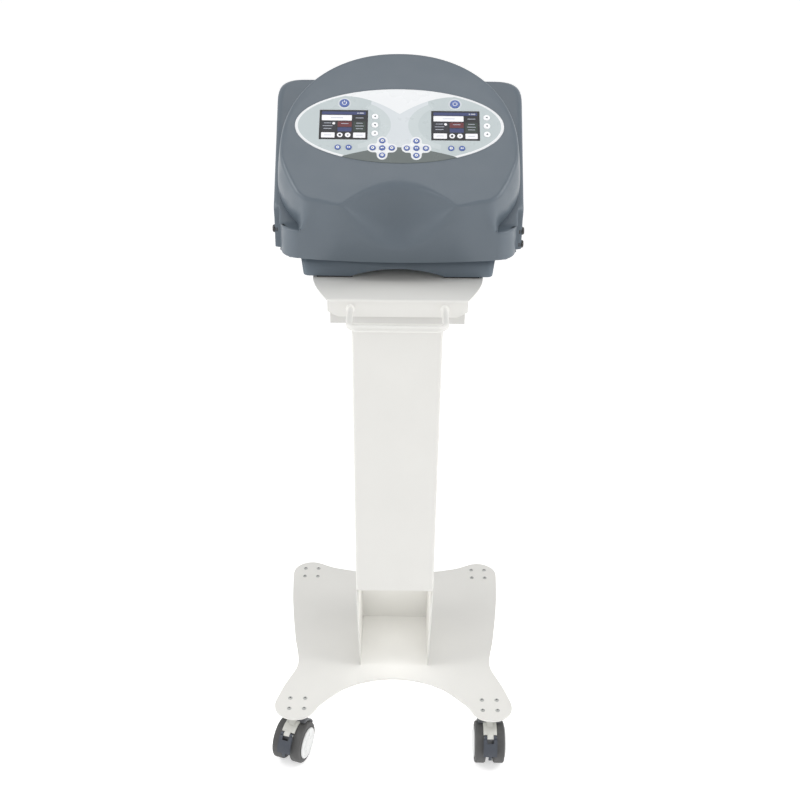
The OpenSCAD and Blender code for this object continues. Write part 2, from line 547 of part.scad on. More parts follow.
post_at = [for (q = [[-40, 55], [40, 55], [-110, -40], [110, -40]]) [q[0] * panel_a / 170, panel_v + q[1] * panel_b / 74]];
module control_panel() {
  color([0.8, 0.83, 0.83])
  on_face(0, 0, 0)
  difference() {
    union() {
      translate([0, panel_v, -panel_t]) linear_extrude(panel_t) polygon([for (k = [0:95]) [panel_a * cos(k * 3.75), panel_b * sin(k * 3.75)]]);
      for (p = post_at) translate([p[0], p[1], -9.4]) cylinder(r = 3, h = 9, $fn = 24);
    }
    for (k = keys) translate([k[0], k[1], -10]) cylinder(r = k[2] + key_c, h = 20, $fn = 32);
    for (s = [-1, 1]) translate([s * lcd_u - lcd_w / 2, lcd_v - lcd_h / 2, -10]) cube([lcd_w, lcd_h, 20]);
  }
}

module display(s) {
  on_face(s * lcd_u, lcd_v, 0) {
    translate([-lcd_w / 2 + key_c, -lcd_h / 2 + key_c, -panel_t - 0.5]) cube([lcd_w - 2 * key_c, lcd_h - 2 * key_c, panel_t + 0.5 - win_t]);
    translate([-lcd_w / 2 - 3, -lcd_h / 2 - 3, -panel_t - 4]) cube([lcd_w + 6, lcd_h + 6, 4]);
    translate([-12, -8, -9.4]) cube([24, 10, 6]);
  }
}
module display_left() { color([0.1, 0.11, 0.14]) display(-1); }
module display_right() { color([0.1, 0.11, 0.14]) display(1); }

module key_body(i) {
  k = keys[i];
  on_face(k[0], k[1], 0) {
    translate([0, 0, -panel_t - 0.8]) cylinder(r = k[2], h = panel_t + 0.8 + key_up, $fn = 32);
    translate([0, 0, -panel_t - 1.4]) cylinder(r = k[2] + 1, h = 1.36, $fn = 32);
  }
}
kb = [0.27, 0.37, 0.63];
kw = [0.93, 0.93, 0.92];
module key_power_left() { color(kb) key_body(0); }
module key_power_right() { color(kb) key_body(1); }
module key_left_up() { color(kw) key_body(2); }
module key_left_select() { color(kw) key_body(3); }
module key_left_down() { color(kw) key_body(4); }
module key_right_up() { color(kw) key_body(5); }
module key_right_select() { color(kw) key_body(6); }
module key_right_down() { color(kw) key_body(7); }
module pad_left_ok() { color(kb) key_body(8); }
module pad_left_up() { color(kb) key_body(9); }
module pad_left_down() { color(kb) key_body(10); }
module pad_left_back() { color(kb) key_body(11); }
module pad_left_next() { color(kb) key_body(12); }
module pad_right_ok() { color(kb) key_body(13); }
module pad_right_up() { color(kb) key_body(14); }
module pad_right_down() { color(kb) key_body(15); }
module pad_right_back() { color(kb) key_body(16); }
module pad_right_next() { color(kb) key_body(17); }
module key_left_cold() { color(kb) key_body(18); }
module key_left_hot() { color(kb) key_body(19); }
module key_right_cold() { color(kb) key_body(20); }
module key_right_hot() { color(kb) key_body(21); }

// ---------------------------------------------------------------- console: inside and sockets

module main_board() {
  color([0.1, 0.35, 0.2])
  on_face(0, 0, 0) {
    translate([-lcd_u - 37, panel_v - 65, -11.1]) cube([2 * lcd_u + 100, 126, 1.6]);
    for (k = keys) translate([k[0], k[1], -9.7]) cylinder(r = 2.5, h = 9.7 - panel_t - 1.4 - key_travel - 0.3, $fn = 24);
  }
}

module hose_ports() {
  color([0.06, 0.06, 0.06])
  for (q = [[-1, 73], [1, 73], [1, 50]]) translate([q[0] * con_w, port_y, tray_z + q[1]]) rotate([0, q[0] * 90, 0])
    difference() {
      union() {
        translate([0, 0, -14]) cylinder(r = 4.95, h = 16, $fn = 32);
        rotate_extrude($fn = 32) polygon([[0, 0], [6.6, 0], [6.6, 1.2], [5.6, 3], [4.4, 3.8], [0, 3.8]]);
        translate([0, 0, -wall - 2]) cylinder(r = 6.6, h = 2, $fn = 32);
      }
      translate([0, 0, -8]) cylinder(r = 2.6, h = 20, $fn = 32);
    }
}

module power_inlet() {
  color([0.08, 0.08, 0.09])
  translate([-inlet_x, con_rear, tray_z + 62]) difference() {
    union() {
      translate([0.2, -26, 0.2]) cube([45.6, 28, 27.6]);
      translate([-3, 0, -3]) cube([52, 2.5, 34]);
    }
    // socket for a mains connector
    translate([3, -18, 6]) cube([24.5, 30, 16.5]);
    // rocker opening
    translate([32, -12, 4]) cube([11, 20, 20]);
    translate([28, -2, 14]) rotate([0, 90, 0]) cylinder(r = 1.5, h = 17.4, $fn = 24);
  }
  color([0.7, 0.7, 0.7]) for (q = [[8.5, 16], [22, 16], [15.2, 11]]) translate([-inlet_x + q[0] - 1, con_rear - 19, tray_z + 62 + q[1] - 2]) cube([2, 14, 4]);
}

module rocker_switch() {
  color([0.12, 0.12, 0.13])
  translate([-inlet_x + 32.3, con_rear, tray_z + 62 + 14]) {
    rotate([90, 0, 90]) linear_extrude(10.4) polygon([[-6, -3], [-2, -8], [2.4, -9], [3.4, -8.6], [2.2, 0], [0.6, 8.6], [-0.4, 8.9], [-2, 8], [-6, 3]]);
    translate([-2, -2, 0]) rotate([0, 90, 0]) cylinder(r = 1.44, h = 14.4, $fn = 24);
  }
}

floor_z = tray_z + foot_h + wall + 14;
module power_supply() {
  color([0.72, 0.73, 0.74]) translate([-pan_w + 14, pan_rear - 114, floor_z]) difference() { cube([70, 96, 40]); for (k = [0:5]) translate([8 + k * 10, 10, 38]) cube([4, 76, 5]); }
}
module water_tank() {
  color([0.85, 0.88, 0.9]) translate([-pan_w + 102, pan_rear - 154, floor_z]) difference() {
    union() { cube([tank_w, 120, 110]); translate([tank_w / 2, 60, 109]) cylinder(r = 22, h = 14); }
    translate([3, 3, 3]) cube([tank_w - 6, 114, 104]);
    translate([tank_w / 2, 60, 100]) cylinder(r = 18, h = 30);
  }
}
module pump() {
  color([0.2, 0.2, 0.22]) translate([pan_w - 42, 60, floor_z]) {
    translate([-14, -30, 0]) cube([34, 70, 6]);
    translate([3, 30, 24]) rotate([90, 0, 0]) cylinder(r = 19, h = 52);
    translate([3, 36, 24]) rotate([90, 0, 0]) cylinder(r = 14, h = 8);
    translate([3, -40, 24]) rotate([-90, 0, 0]) cylinder(r = 4, h = 20, $fn = 24);
  }
}

// ---------------------------------------------------------------- assembly

base_plate();
column_shell();
column_back();
column_bolts();
head_bracket();
tray();
handle();
caster_plates();
caster_screws();
caster_fl_fork();
caster_fl_tyres();
caster_fl_discs();
brake_fl();
caster_fr_fork();
caster_fr_tyres();
caster_fr_discs();
brake_fr();
caster_rl_fork();
caster_rl_tyres();
caster_rl_discs();
caster_rr_fork();
caster_rr_tyres();
caster_rr_discs();
base_pan();
rubber_feet();
rear_shell();
front_shell();
control_panel();
display_left();
display_right();
key_power_left();
key_power_right();
key_left_up();
key_left_select();
key_left_down();
key_right_up();
key_right_select();
key_right_down();
pad_left_ok();
pad_left_up();
pad_left_down();
pad_left_back();
pad_left_next();
pad_right_ok();
pad_right_up();
pad_right_down();
pad_right_back();
pad_right_next();
key_left_cold();
key_left_hot();
key_right_cold();
key_right_hot();
hose_ports();
power_inlet();
rocker_switch();
main_board();
power_supply();
water_tank();
pump();
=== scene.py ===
from math import atan2, cos, pi, radians, sin, sqrt

import bmesh
import bpy
import numpy as np
from bpy.props import BoolProperty, FloatProperty, FloatVectorProperty, PointerProperty
from mathutils import Matrix, Vector
from mathutils.geometry import delaunay_2d_cdt


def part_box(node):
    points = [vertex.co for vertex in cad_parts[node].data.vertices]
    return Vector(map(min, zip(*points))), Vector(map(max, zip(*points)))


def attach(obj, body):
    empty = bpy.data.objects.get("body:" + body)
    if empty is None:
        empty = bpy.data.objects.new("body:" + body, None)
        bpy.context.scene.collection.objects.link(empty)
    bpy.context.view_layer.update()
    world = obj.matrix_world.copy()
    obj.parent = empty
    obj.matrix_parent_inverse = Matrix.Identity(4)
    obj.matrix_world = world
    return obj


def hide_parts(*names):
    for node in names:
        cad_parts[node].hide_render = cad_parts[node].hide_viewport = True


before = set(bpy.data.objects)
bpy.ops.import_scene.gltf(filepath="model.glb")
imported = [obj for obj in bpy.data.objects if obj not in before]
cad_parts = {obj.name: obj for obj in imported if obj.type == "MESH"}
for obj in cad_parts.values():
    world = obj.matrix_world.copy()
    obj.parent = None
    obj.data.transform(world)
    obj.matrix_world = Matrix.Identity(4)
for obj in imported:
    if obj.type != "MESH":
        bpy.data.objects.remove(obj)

bl_info = {
    "name": "Hot Cold Therapy Machine",
    "version": (1, 0, 0),
    "blender": (4, 5, 0),
    "location": "3D Viewport > Sidebar > Therapy Machine",
    "description": "Builds the visual pieces of a two-channel hot and cold therapy machine on its trolley",
    "category": "Add Mesh",
}

# ---------- the machine's frame, in millimetres

TRAY = 860.0  # height of the tray's top
PLATE = 106.0  # height of the base plate's top
SLOPE = radians(37)  # slope of the control face
CZ, SZ = cos(SLOPE), sin(SLOPE)
BROW = 149.0  # height of the brow above the tray
LEDGE = 93.0  # height of the ledge beside the raised face above the tray
LIP = 38.0  # height of the lower lip above the tray
TOP = 241.0  # height above the tray at which the body's shoulders start
REAR = 235.0  # distance of the rear wall behind the middle
PANEL_V = 149  # distance of the panel's middle from the brow, up the slope
PANEL_A, PANEL_B = 169.5, 73.5  # half axes of the panel
SCREEN_U, SCREEN_V = 91, 150  # middle of the right screen
PAD_U, PAD_V = 27.5, 104.3  # middle of the right pad of five keys
HANDLE_X, HANDLE_Z = 76.0, TRAY - 15  # the push handle's ends
FACE_ORIGIN = np.array([0.0, -57.0, TRAY + BROW])
FACE_AXES = np.array([[1, 0, 0], [0, CZ, SZ], [0, -SZ, CZ]])
CORNERS = {"fl": (-175, -200, -20), "fr": (175, -200, 0), "rl": (-175, 200, 180), "rr": (175, 200, 160)}


def frame_offset():
    """Metres from the millimetre coordinates used here to the frame: the rear shell is centred on x, with its back
    at REAR, and the tray's top is at TRAY."""
    lo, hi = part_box("rear_shell")
    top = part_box("tray")[1]
    return np.array([(lo[0] + hi[0]) / 2, hi[1] - REAR / 1000, top[2] - TRAY / 1000])


OFFSET = frame_offset()


def on_face(points):
    """Points (across, up the slope, outward) of the control face as points of the machine."""
    return np.asarray(points, float) @ FACE_AXES + FACE_ORIGIN


def to_face(points):
    """The reverse of on_face."""
    return (np.asarray(points, float) - FACE_ORIGIN) @ FACE_AXES.T


def turned(points, degrees, about=2):
    """Points turned about one axis through the origin."""
    a = radians(degrees)
    i, j = [(1, 2), (2, 0), (0, 1)][about]
    q = np.array(points, float)
    x, y = points[..., i], points[..., j]
    q[..., i], q[..., j] = x * cos(a) - y * sin(a), x * sin(a) + y * cos(a)
    return q


# ---------- surfaces


def at(*coordinates):
    """Points from their coordinates, each a number or an array."""
    return np.stack(np.broadcast_arrays(*coordinates), -1)


def angles(first, last, count):
    """Evenly spaced angles in radians, the limits in degrees."""
    return np.radians(np.linspace(first, last, count))


def arc(cu, cv, radius, first, last, count):
    """Points of an arc about (cu, cv), the limits in degrees."""
    return [(cu + radius * cos(a), cv + radius * sin(a)) for a in angles(first, last, count)]


def grid(points, wrap_rows=False, wrap_columns=False):
    """Quads over an array of points [row, column]; a wrapped direction joins its last line to its first."""
    m, n = points.shape[:2]
    i = np.arange(m if wrap_rows else m - 1)[:, None]
    j = np.arange(n if wrap_columns else n - 1)[None, :]
    a, b, c, d = i * n + j, (i + 1) % m * n + j, (i + 1) % m * n + (j + 1) % n, i * n + (j + 1) % n
    return points.reshape(-1, 3), [list(f) for f in np.stack([a, b, c, d], -1).reshape(-1, 4).tolist()]


def revolved(profile, sides=96):
    """A closed profile of (radius, height) carried round the Z axis: x = r cos a, y = r sin a."""
    p = np.asarray(profile, float)
    a = np.linspace(0, 2 * pi, sides, endpoint=False)[:, None]
    return grid(at(p[:, 0] * np.cos(a), p[:, 0] * np.sin(a), p[:, 1]), True, True)


def slab(outline, low, high, edge=1.0, steps=4):
    """A flat plate: the outline (anticlockwise) carried from low to high, with both rims rounded by quarter circles.
    A ring at angle q of the rim is inset by edge (1 - sin q) and sits edge (1 - cos q) from its face."""
    o = np.asarray(outline, float)
    before, after = o - np.roll(o, 1, 0), np.roll(o, -1, 0) - o
    n1 = np.stack([before[:, 1], -before[:, 0]], 1) / np.linalg.norm(before, axis=1)[:, None]
    n2 = np.stack([after[:, 1], -after[:, 0]], 1) / np.linalg.norm(after, axis=1)[:, None]
    normal = n1 + n2
    normal /= np.maximum((normal * n1).sum(1), 0.35)[:, None]
    turns = np.linspace(0, pi / 2, steps)
    rings = [(edge * (1 - sin(q)), low + edge * (1 - cos(q))) for q in turns]
    rings += [(edge * (1 - sin(q)), high - edge * (1 - cos(q))) for q in turns[::-1]]
    p = np.array([at(*(o - normal * inset).T, z) for inset, z in rings])
    v, f = grid(p, False, True)
    n = len(o)
    return v, f + [list(range(n))[::-1], [len(v) - n + k for k in range(n)]]


def tube(path, radius, sides=32):
    """A circle carried along a path in a plane of constant z, with flat ends."""
    p = np.asarray(path, float)
    t = np.gradient(p, axis=0)
    t /= np.linalg.norm(t, axis=1)[:, None]
    side = at(-t[:, 1], t[:, 0], 0.0)
    a = np.linspace(0, 2 * pi, sides, endpoint=False)[None, :, None]
    ring = p[:, None] + radius * (np.cos(a) * side[:, None] + np.sin(a) * np.array([0, 0, 1.0]))
    v, f = grid(ring, False, True)
    n = len(v)
    return v, f + [list(range(sides))[::-1], [n - sides + k for k in range(sides)]]


def ellipse(u, v, a, b, count):
    """Points of an ellipse, anticlockwise."""
    t = np.linspace(0, 2 * pi, count, endpoint=False)
    return at(u + a * np.cos(t), v + b * np.sin(t))


def bar(u, v, w, h, r, steps=5):
    """A rectangle with rounded corners about its middle, anticlockwise."""
    corners = ((1, -1, -90), (1, 1, 0), (-1, 1, 90), (-1, -1, 180))
    x, y = w / 2 - r, h / 2 - r
    return np.array([p for i, j, a in corners for p in arc(u + i * x, v + j * y, r, a, a + 90, steps)])


def join(*parts):
    """Parts (vertices, faces, material number) as one."""
    v, f, m, n = [], [], [], 0
    for verts, faces, number in parts:
        v.append(np.asarray(verts, float))
        f += [[i + n for i in q] for q in faces]
        m += number if isinstance(number, list) else [number] * len(faces)
        n += len(verts)
    return np.concatenate(v), f, m


def placed(shape, to, degrees=0, about=2, number=0):
    """A shape (vertices, faces) turned about one axis and then moved, as a part with its material number."""
    return turned(shape[0], degrees, about) + np.array(to), shape[1], number


def mirrored(half):
    """A half outline or surface, from one middle to the other, closed by its mirror image across x."""
    flip = np.ones(half.shape[-1])
    flip[0] = -1
    return np.concatenate([half, half[-2:0:-1] * flip])


def inside(points, polygon):
    """Which points lie inside a closed polygon, by counting the sides that a ray towards +u crosses."""
    x, y = points[:, 0][:, None], points[:, 1][:, None]
    x0, y0 = polygon[:, 0][None], polygon[:, 1][None]
    x1, y1 = np.roll(x0, -1), np.roll(y0, -1)
    crosses = (y0 > y) != (y1 > y)
    meets = x0 + (y - y0) * (x1 - x0) / np.where(y1 == y0, 1e-12, y1 - y0)
    return (crosses & (x < meets)).sum(1) % 2 == 1


def flat(outline, holes=(), lines=()):
    """Triangles of a flat sheet inside an outline and outside its holes. Further closed lines are followed by the
    triangles' edges, so that regions of other colours have clean borders."""
    loops = [np.asarray(q, float) for q in (outline, *holes, *lines)]
    points, edges = [], []
    for q in loops:
        n = len(points)
        points += [Vector(p) for p in q.tolist()]
        edges += [(n + k, n + (k + 1) % len(q)) for k in range(len(q))]
    verts, _, faces, *_ = delaunay_2d_cdt(points, edges, [], 1, 1e-5)
    v = np.array([list(p) for p in verts])
    f = np.array([list(q) for q in faces])
    centre = v[f].mean(1)
    keep = inside(centre, loops[0])
    for q in holes:
        keep &= ~inside(centre, np.asarray(q, float))
    return v, f[keep], centre[keep]


def smoothed(points, passes, columns=slice(None)):
    """Each point of the chosen columns moved to (before + 2 itself + after) / 4 along its row direction, repeatedly."""
    p = points.copy()
    for _ in range(passes):
        q = p[:, columns]
        p[:, columns] = (np.roll(q, 1, 0) + 2 * q + np.roll(q, -1, 0)) / 4
    return p


# ---------- materials


def linear(c):
    """Linear values of a colour written as on screen, each from 0 to 1."""
    return [x / 12.92 if x <= 0.04045 else ((x + 0.055) / 1.055) ** 2.4 for x in c]


def rgb(r, g, b):
    return (r / 255, g / 255, b / 255)


def material(
    name,
    colour,
    rough=0.45,
    metal=0.0,
    grain=900,
    bump=0.1,
    mottle=0.03,
    wear=0.06,
    coat=0.0,
    glow=0.0,
    stretch=(1, 1, 1),
    clear=0.0,
    shine=0.5,
):
    """A surface with a fine moulded or painted grain: noise on object coordinates bends the normal, a broad noise
    shifts the colour slightly lighter and darker, and a third one varies the roughness."""
    if name in bpy.data.materials:
        return bpy.data.materials[name]
    m = bpy.data.materials.new(name)
    m.use_nodes = True
    t = m.node_tree
    t.nodes.clear()

    def add(kind, x, y, **values):
        n = t.nodes.new(kind)
        n.location = (x, y)
        for key, value in values.items():
            if hasattr(n, key):
                setattr(n, key, value)
            else:
                n.inputs[key.replace("_", " ")].default_value = value
        return n

    def link(a, i, b, o):
        t.links.new(a.outputs[i], b.inputs[o])

    where = add("ShaderNodeTexCoord", -1100, 0)
    place = add("ShaderNodeMapping", -900, 0, Scale=stretch)
    link(where, "Object", place, "Vector")
    shader = add("ShaderNodeBsdfPrincipled", 200, 0, Metallic=metal)
    shader.inputs["Coat Weight"].default_value = coat
    shader.inputs["Coat Roughness"].default_value = 0.06
    shader.inputs["Transmission Weight"].default_value = clear
    shader.inputs["Specular IOR Level"].default_value = shine
    broad = add("ShaderNodeTexNoise", -700, 200, Scale=9.0, Detail=3.0, Roughness=0.5)
    link(place, "Vector", broad, "Vector")
    ramp = add("ShaderNodeValToRGB", -450, 200)
    base = linear(colour)
    ramp.color_ramp.elements[0].position, ramp.color_ramp.elements[1].position = 0.3, 0.7
    ramp.color_ramp.elements[0].color = [c * (1 - mottle) for c in base] + [1]
    ramp.color_ramp.elements[1].color = [min(1, c * (1 + mottle)) for c in base] + [1]
    link(broad, "Fac", ramp, "Fac")
    link(ramp, "Color", shader, "Base Color")
    smear = add("ShaderNodeTexNoise", -700, -50, Scale=31.0, Detail=4.0, Roughness=0.6)
    link(place, "Vector", smear, "Vector")
    limits = dict(From_Min=0.3, From_Max=0.7, To_Min=max(0.02, rough - wear), To_Max=min(1, rough + wear))
    level = add("ShaderNodeMapRange", -450, -50, **limits)
    link(smear, "Fac", level, "Value")
    link(level, "Result", shader, "Roughness")
    fine = add("ShaderNodeTexNoise", -700, -320, Scale=float(grain), Detail=2.0, Roughness=0.55)
    link(place, "Vector", fine, "Vector")
    relief = add("ShaderNodeBump", -150, -320, Strength=bump, Distance=0.0004)
    link(fine, "Fac", relief, "Height")
    link(relief, "Normal", shader, "Normal")
    if glow:
        link(ramp, "Color", shader, "Emission Color")
        shader.inputs["Emission Strength"].default_value = glow
    out = add("ShaderNodeOutputMaterial", 500, 0)
    link(shader, "BSDF", out, "Surface")
    return m


FILM = dict(rough=0.3, grain=2400, bump=0.05, mottle=0.01, coat=0.25)
KEY = dict(rough=0.32, grain=2600, bump=0.05, mottle=0.01, coat=0.3)
GLASS = dict(rough=0.22, grain=3000, bump=0.02, mottle=0.05, coat=0.1, shine=0.25, glow=0.1)
SHEET = dict(rough=0.42, grain=520, bump=0.1, mottle=0.012, wear=0.04)
FINISHES = {  # colour as on screen, then what differs from a material's usual values
    "zinc": ((196, 198, 202), dict(rough=0.34, metal=0.9, grain=240, bump=0.12, mottle=0.08, wear=0.1)),
    "screw": ((176, 177, 175), dict(rough=0.5, metal=0.35, grain=700, bump=0.12, mottle=0.06)),
    "steel": ((188, 190, 194), dict(rough=0.3, metal=0.95, grain=700, mottle=0.05, stretch=(1, 1, 9))),
    "caster grey": ((92, 94, 99), dict(rough=0.48, grain=1100, bump=0.15)),
    "caster pale": ((214, 214, 208), dict(mottle=0.02)),
    "tyre": ((90, 92, 97), dict(rough=0.62, grain=800, bump=0.3, mottle=0.05, wear=0.08)),
    "disc": ((226, 227, 227), dict(rough=0.4, bump=0.08, mottle=0.015)),
    "pedal": ((66, 71, 80), dict(rough=0.5, grain=1100, bump=0.2)),
    "rubber": ((38, 38, 40), dict(rough=0.78, grain=1500, bump=0.35, mottle=0.06)),
    "film pale": ((206, 212, 216), FILM),
    "film mid": ((191, 200, 202), FILM),
    "film white": ((230, 232, 234), dict(FILM, mottle=0.008)),
    "film dark": ((78, 88, 87), dict(FILM, rough=0.32, bump=0.06, mottle=0.05, coat=0.2)),
    "key white": ((246, 247, 249), KEY),
    "key dot": ((48, 56, 74), dict(KEY, rough=0.4, mottle=0.03, coat=0.0)),
    "lcd black": ((20, 22, 28), dict(GLASS, rough=0.2, mottle=0.04, glow=0.0)),
    "lcd navy": ((50, 60, 104), dict(GLASS, mottle=0.03, glow=0.12)),
    "lcd white": ((238, 238, 242), dict(GLASS, mottle=0.01)),
    "lcd slate": ((30, 33, 42), GLASS),
    "lcd maroon": ((96, 36, 42), dict(GLASS, mottle=0.04, glow=0.12)),
    "lcd green": ((40, 52, 46), GLASS),
    "lcd grey": ((176, 180, 192), dict(GLASS, mottle=0.02)),
    "port black": ((30, 31, 33), dict(rough=0.28, bump=0.06, mottle=0.04, coat=0.3)),
    # black plastic of the mains inlet; the same black also paints the shade in the air slots and in the screws' hex
    # sockets
    "black plastic and painted shade": ((36, 37, 39), dict(rough=0.42, grain=1200, bump=0.15, mottle=0.04)),
    "rocker": ((28, 29, 31), dict(rough=0.3, grain=1500, bump=0.06, coat=0.2)),
    "board green": ((34, 92, 58), dict(rough=0.4, grain=260, bump=0.2, mottle=0.12)),
    "tank": ((214, 222, 228), dict(rough=0.35, grain=600, mottle=0.02, clear=0.2)),
    "pump": ((48, 49, 53), dict(bump=0.15, mottle=0.05)),
}


def finish_of(kind):
    """The material of a finish by its name. The user's colours come from the settings."""
    s = bpy.context.scene.therapy_machine
    own = {
        "shell": (s.shell_colour, 1.0, dict(rough=0.34, grain=1300, bump=0.14, mottle=0.02, shine=0.42)),
        "pan": (s.shell_colour, 1.06, dict(rough=0.5, grain=1300, bump=0.2, shine=0.3)),
        "paint": (s.paint_colour, 1.0, SHEET),
        # a copy of the paint 7 % darker: painted shade for the head bracket, which sits in the shadow under the tray
        "paint with painted shade": (s.paint_colour, 0.93, dict(SHEET, rough=0.46, mottle=0.015, wear=0.06)),
        "film grey": (s.panel_colour, 1.0, FILM),
        "key blue": (s.key_colour, 1.0, dict(KEY, mottle=0.03)),
    }
    if kind in own:
        colour, share, values = own[kind]
        return material(kind, tuple(c * share for c in colour), **values)
    colour, values = FINISHES[kind]
    return material(kind, rgb(*colour), **values)


# ---------- making pieces


def piece(name, part, finishes, body, nodes, slot, soften=34, edge=0.0, thickness=0.0, segments=3, angle=30):
    """A finished piece: the part's millimetre points go into the frame, doubled points are merged, faces turn outward,
    and edges sharper than soften degrees stay crisp. Thickness adds a Solidify modifier, edge a Bevel modifier."""
    v, f, m = part if len(part) == 3 else (*part, 0)
    mesh = bpy.data.meshes.new(name)
    mesh.from_pydata((np.asarray(v) / 1000 + OFFSET).tolist(), [], f)
    mesh.polygons.foreach_set("material_index", np.asarray(m if isinstance(m, list) else [m] * len(f), np.int32))
    for kind in finishes:
        mesh.materials.append(finish_of(kind))
    bm = bmesh.new()
    bm.from_mesh(mesh)
    bmesh.ops.remove_doubles(bm, verts=bm.verts, dist=2e-6)
    bmesh.ops.dissolve_degenerate(bm, edges=bm.edges, dist=1e-7)
    bmesh.ops.recalc_face_normals(bm, faces=bm.faces)
    bm.to_mesh(mesh)
    bm.free()
    if not mesh.polygons:
        raise RuntimeError(f"{name} has no faces")
    return finish_piece(name, mesh, body, nodes, soften, edge, thickness, segments, angle)


def finish_piece(name, mesh, body, nodes, soften, edge, thickness, segments, angle):
    mesh.shade_smooth()
    if not edge and not thickness:
        mesh.set_sharp_from_angle(angle=radians(soften))
    o = bpy.data.objects.new(name, mesh)
    bpy.context.scene.collection.objects.link(o)
    if thickness:
        s = o.modifiers.new("Sheet", "SOLIDIFY")
        s.thickness, s.offset, s.use_even_offset = thickness / 1000, -1.0, True
    if edge:
        b = o.modifiers.new("Edges", "BEVEL")
        b.width, b.segments, b.limit_method, b.angle_limit = edge / 1000, segments, "ANGLE", radians(angle)
        b.harden_normals = True
    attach(o, body)
    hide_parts(*nodes)
    return o


def softened(node, name, finishes, body, edge=0.6, segments=3, angle=30, pick=None):
    """A piece made from a merged copy of a CAD node's mesh, its flat faces joined again and its edges rounded by a
    Bevel modifier. pick gives a material number from a face's middle (millimetres) and normal."""
    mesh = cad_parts[node].data.copy()
    mesh.name = name
    mesh.materials.clear()
    for kind in finishes:
        mesh.materials.append(finish_of(kind))
    bm = bmesh.new()
    bm.from_mesh(mesh)
    bmesh.ops.remove_doubles(bm, verts=bm.verts, dist=2e-6)
    bmesh.ops.dissolve_limit(bm, angle_limit=radians(0.6), verts=bm.verts, edges=bm.edges)
    bmesh.ops.recalc_face_normals(bm, faces=bm.faces)
    for f in bm.faces:
        c = (np.array(f.calc_center_median()) - OFFSET) * 1000
        f.material_index = pick(c, np.array(f.normal)) if pick else 0
        f.smooth = True
    bm.to_mesh(mesh)
    bm.free()
    return finish_piece(name, mesh, body, [node], 34, edge, 0, segments, angle)


# ---------- the console's raised face

FACE_W = 199.0  # half width of the raised face
FACE_DEPTH = 75.0  # from the raised face down to its rim
DOME_V, DOME_H = 100, 200  # where the dome starts on the face, and its height from there
FRONT_W = 160.0  # half width of the front below the brow
ARCH_W, ARCH_H = 92.0, 36.0  # half width and height of the scoop's arch
BROW_SIDE = [(188, 100), (187.2, 90), (185, 80), (181.8, 70), (178, 60), (174, 50), (169.6, 40)]
BROW_SIDE += [(165, 31), (160.6, 22), (156, 15.5), (150.5, 10), (144, 6), (136, 3.6)]
BROW_SIDE = np.array(BROW_SIDE) * (FACE_W / 195, 1)  # the crease above the flared side
BROW_END = BROW_SIDE[-1, 0]
CLEAR = 0.7  # gap between the panel and its opening
REARWARD = np.array([0, CZ, -SZ])  # the machine's rearward direction in face coordinates


def ease(t):
    """The step 3 t^2 - 2 t^3 from 0 to 1, flat at both ends."""
    t = np.clip(t, 0, 1)
    return t * t * (3 - 2 * t)


def brow_v(u):
    """Height of the brow's crease on the face: a parabola over the scoop, then a slow rise to the brow's corner."""
    return -5.4 + np.where(u < ARCH_W, ARCH_H * (1 - (u / ARCH_W) ** 2), 9 * ease((u - ARCH_W) / (BROW_END - ARCH_W)))


def front_y(z, u):
    """Depth of the console's front skin at height z above the tray: it leans back from the brow, more at the sides,
    and its top corners are drawn back."""
    down = (BROW - z) / (BROW - LIP)
    return -61 + (28 + 14 * (u / FRONT_W) ** 2) * down + 8 * ease((np.abs(u) - 95) / 50) * (1 - down)


def seat_y(z):
    """Depth, at height z above the tray, of the plane that carries the raised face's rim."""
    return -57 + ((z - BROW) * CZ + FACE_DEPTH) / SZ


def skin(u, z):
    """Face coordinates of the front skin at (u, z)."""
    return to_face(at(u, front_y(z, u), z + TRAY))


def spline(points, t):
    """The smooth curve through a row of points, t counting along them (Catmull-Rom)."""
    k = np.clip(np.floor(t).astype(int), 0, len(points) - 2)
    s = (t - k)[:, None]
    p = np.vstack([2 * points[0] - points[1], points, 2 * points[-1] - points[-2]])
    a, b, c, d = p[k], p[k + 1], p[k + 2], p[k + 3]
    return 0.5 * (2 * b + (c - a) * s + (2 * a - 5 * b + 4 * c - d) * s**2 + (3 * b - a - 3 * c + d) * s**3)


def half_rim():
    """Crease and outer rim of half of the raised face, from the apex down to the middle of the lower lip, with a mark
    for each stretch: 0 round the dome, 1 down the flared side, 2 along the recess, 3 along the lower lip."""
    rows = []
    power = 2 / 2.1
    for a in angles(90, 0, 90):
        u, v = FACE_W * max(cos(a), 0) ** power, DOME_V + DOME_H * sin(a) ** power
        k = 1 - a / (pi / 2)
        rows.append(((u - 7 * k * k, v), (u, v, -FACE_DEPTH), 0, k))
    seat = to_face([163, seat_y(LEDGE), TRAY + LEDGE])
    brow = skin(FRONT_W, LEDGE)
    q0, q1 = np.array([FACE_W, DOME_V, -FACE_DEPTH]), np.array([FACE_W - 0.5, 70, -FACE_DEPTH])
    t = np.linspace(0, 12, 80)[1:]
    for c, s in zip(spline(BROW_SIDE, t), t / 12):
        if s < 0.25:
            r = q0 + (q1 - q0) * s / 0.25
        elif s < 0.85:
            w = (s - 0.25) / 0.6
            r = q1 + (seat - q1) * w + np.array([5 * sin(pi * w), 0, 0])
        else:
            r = seat + (brow - seat) * (s - 0.85) / 0.15
        rows.append((tuple(c), tuple(r), 1, s))
    for s in np.linspace(0, 1, 26)[1:]:
        u = BROW_END * (1 - s * 5 / 19)
        rows.append(((u, float(brow_v(u))), tuple(skin(FRONT_W, LEDGE + (LIP - LEDGE) * s)), 2, s))
    for s in np.linspace(0, 1, 91)[1:]:
        u = BROW_END * (1 - (5 + 14 * s) / 19)
        rows.append(((u, float(brow_v(u))), tuple(skin(FRONT_W * (1 - s), LIP)), 3, s))
    return rows


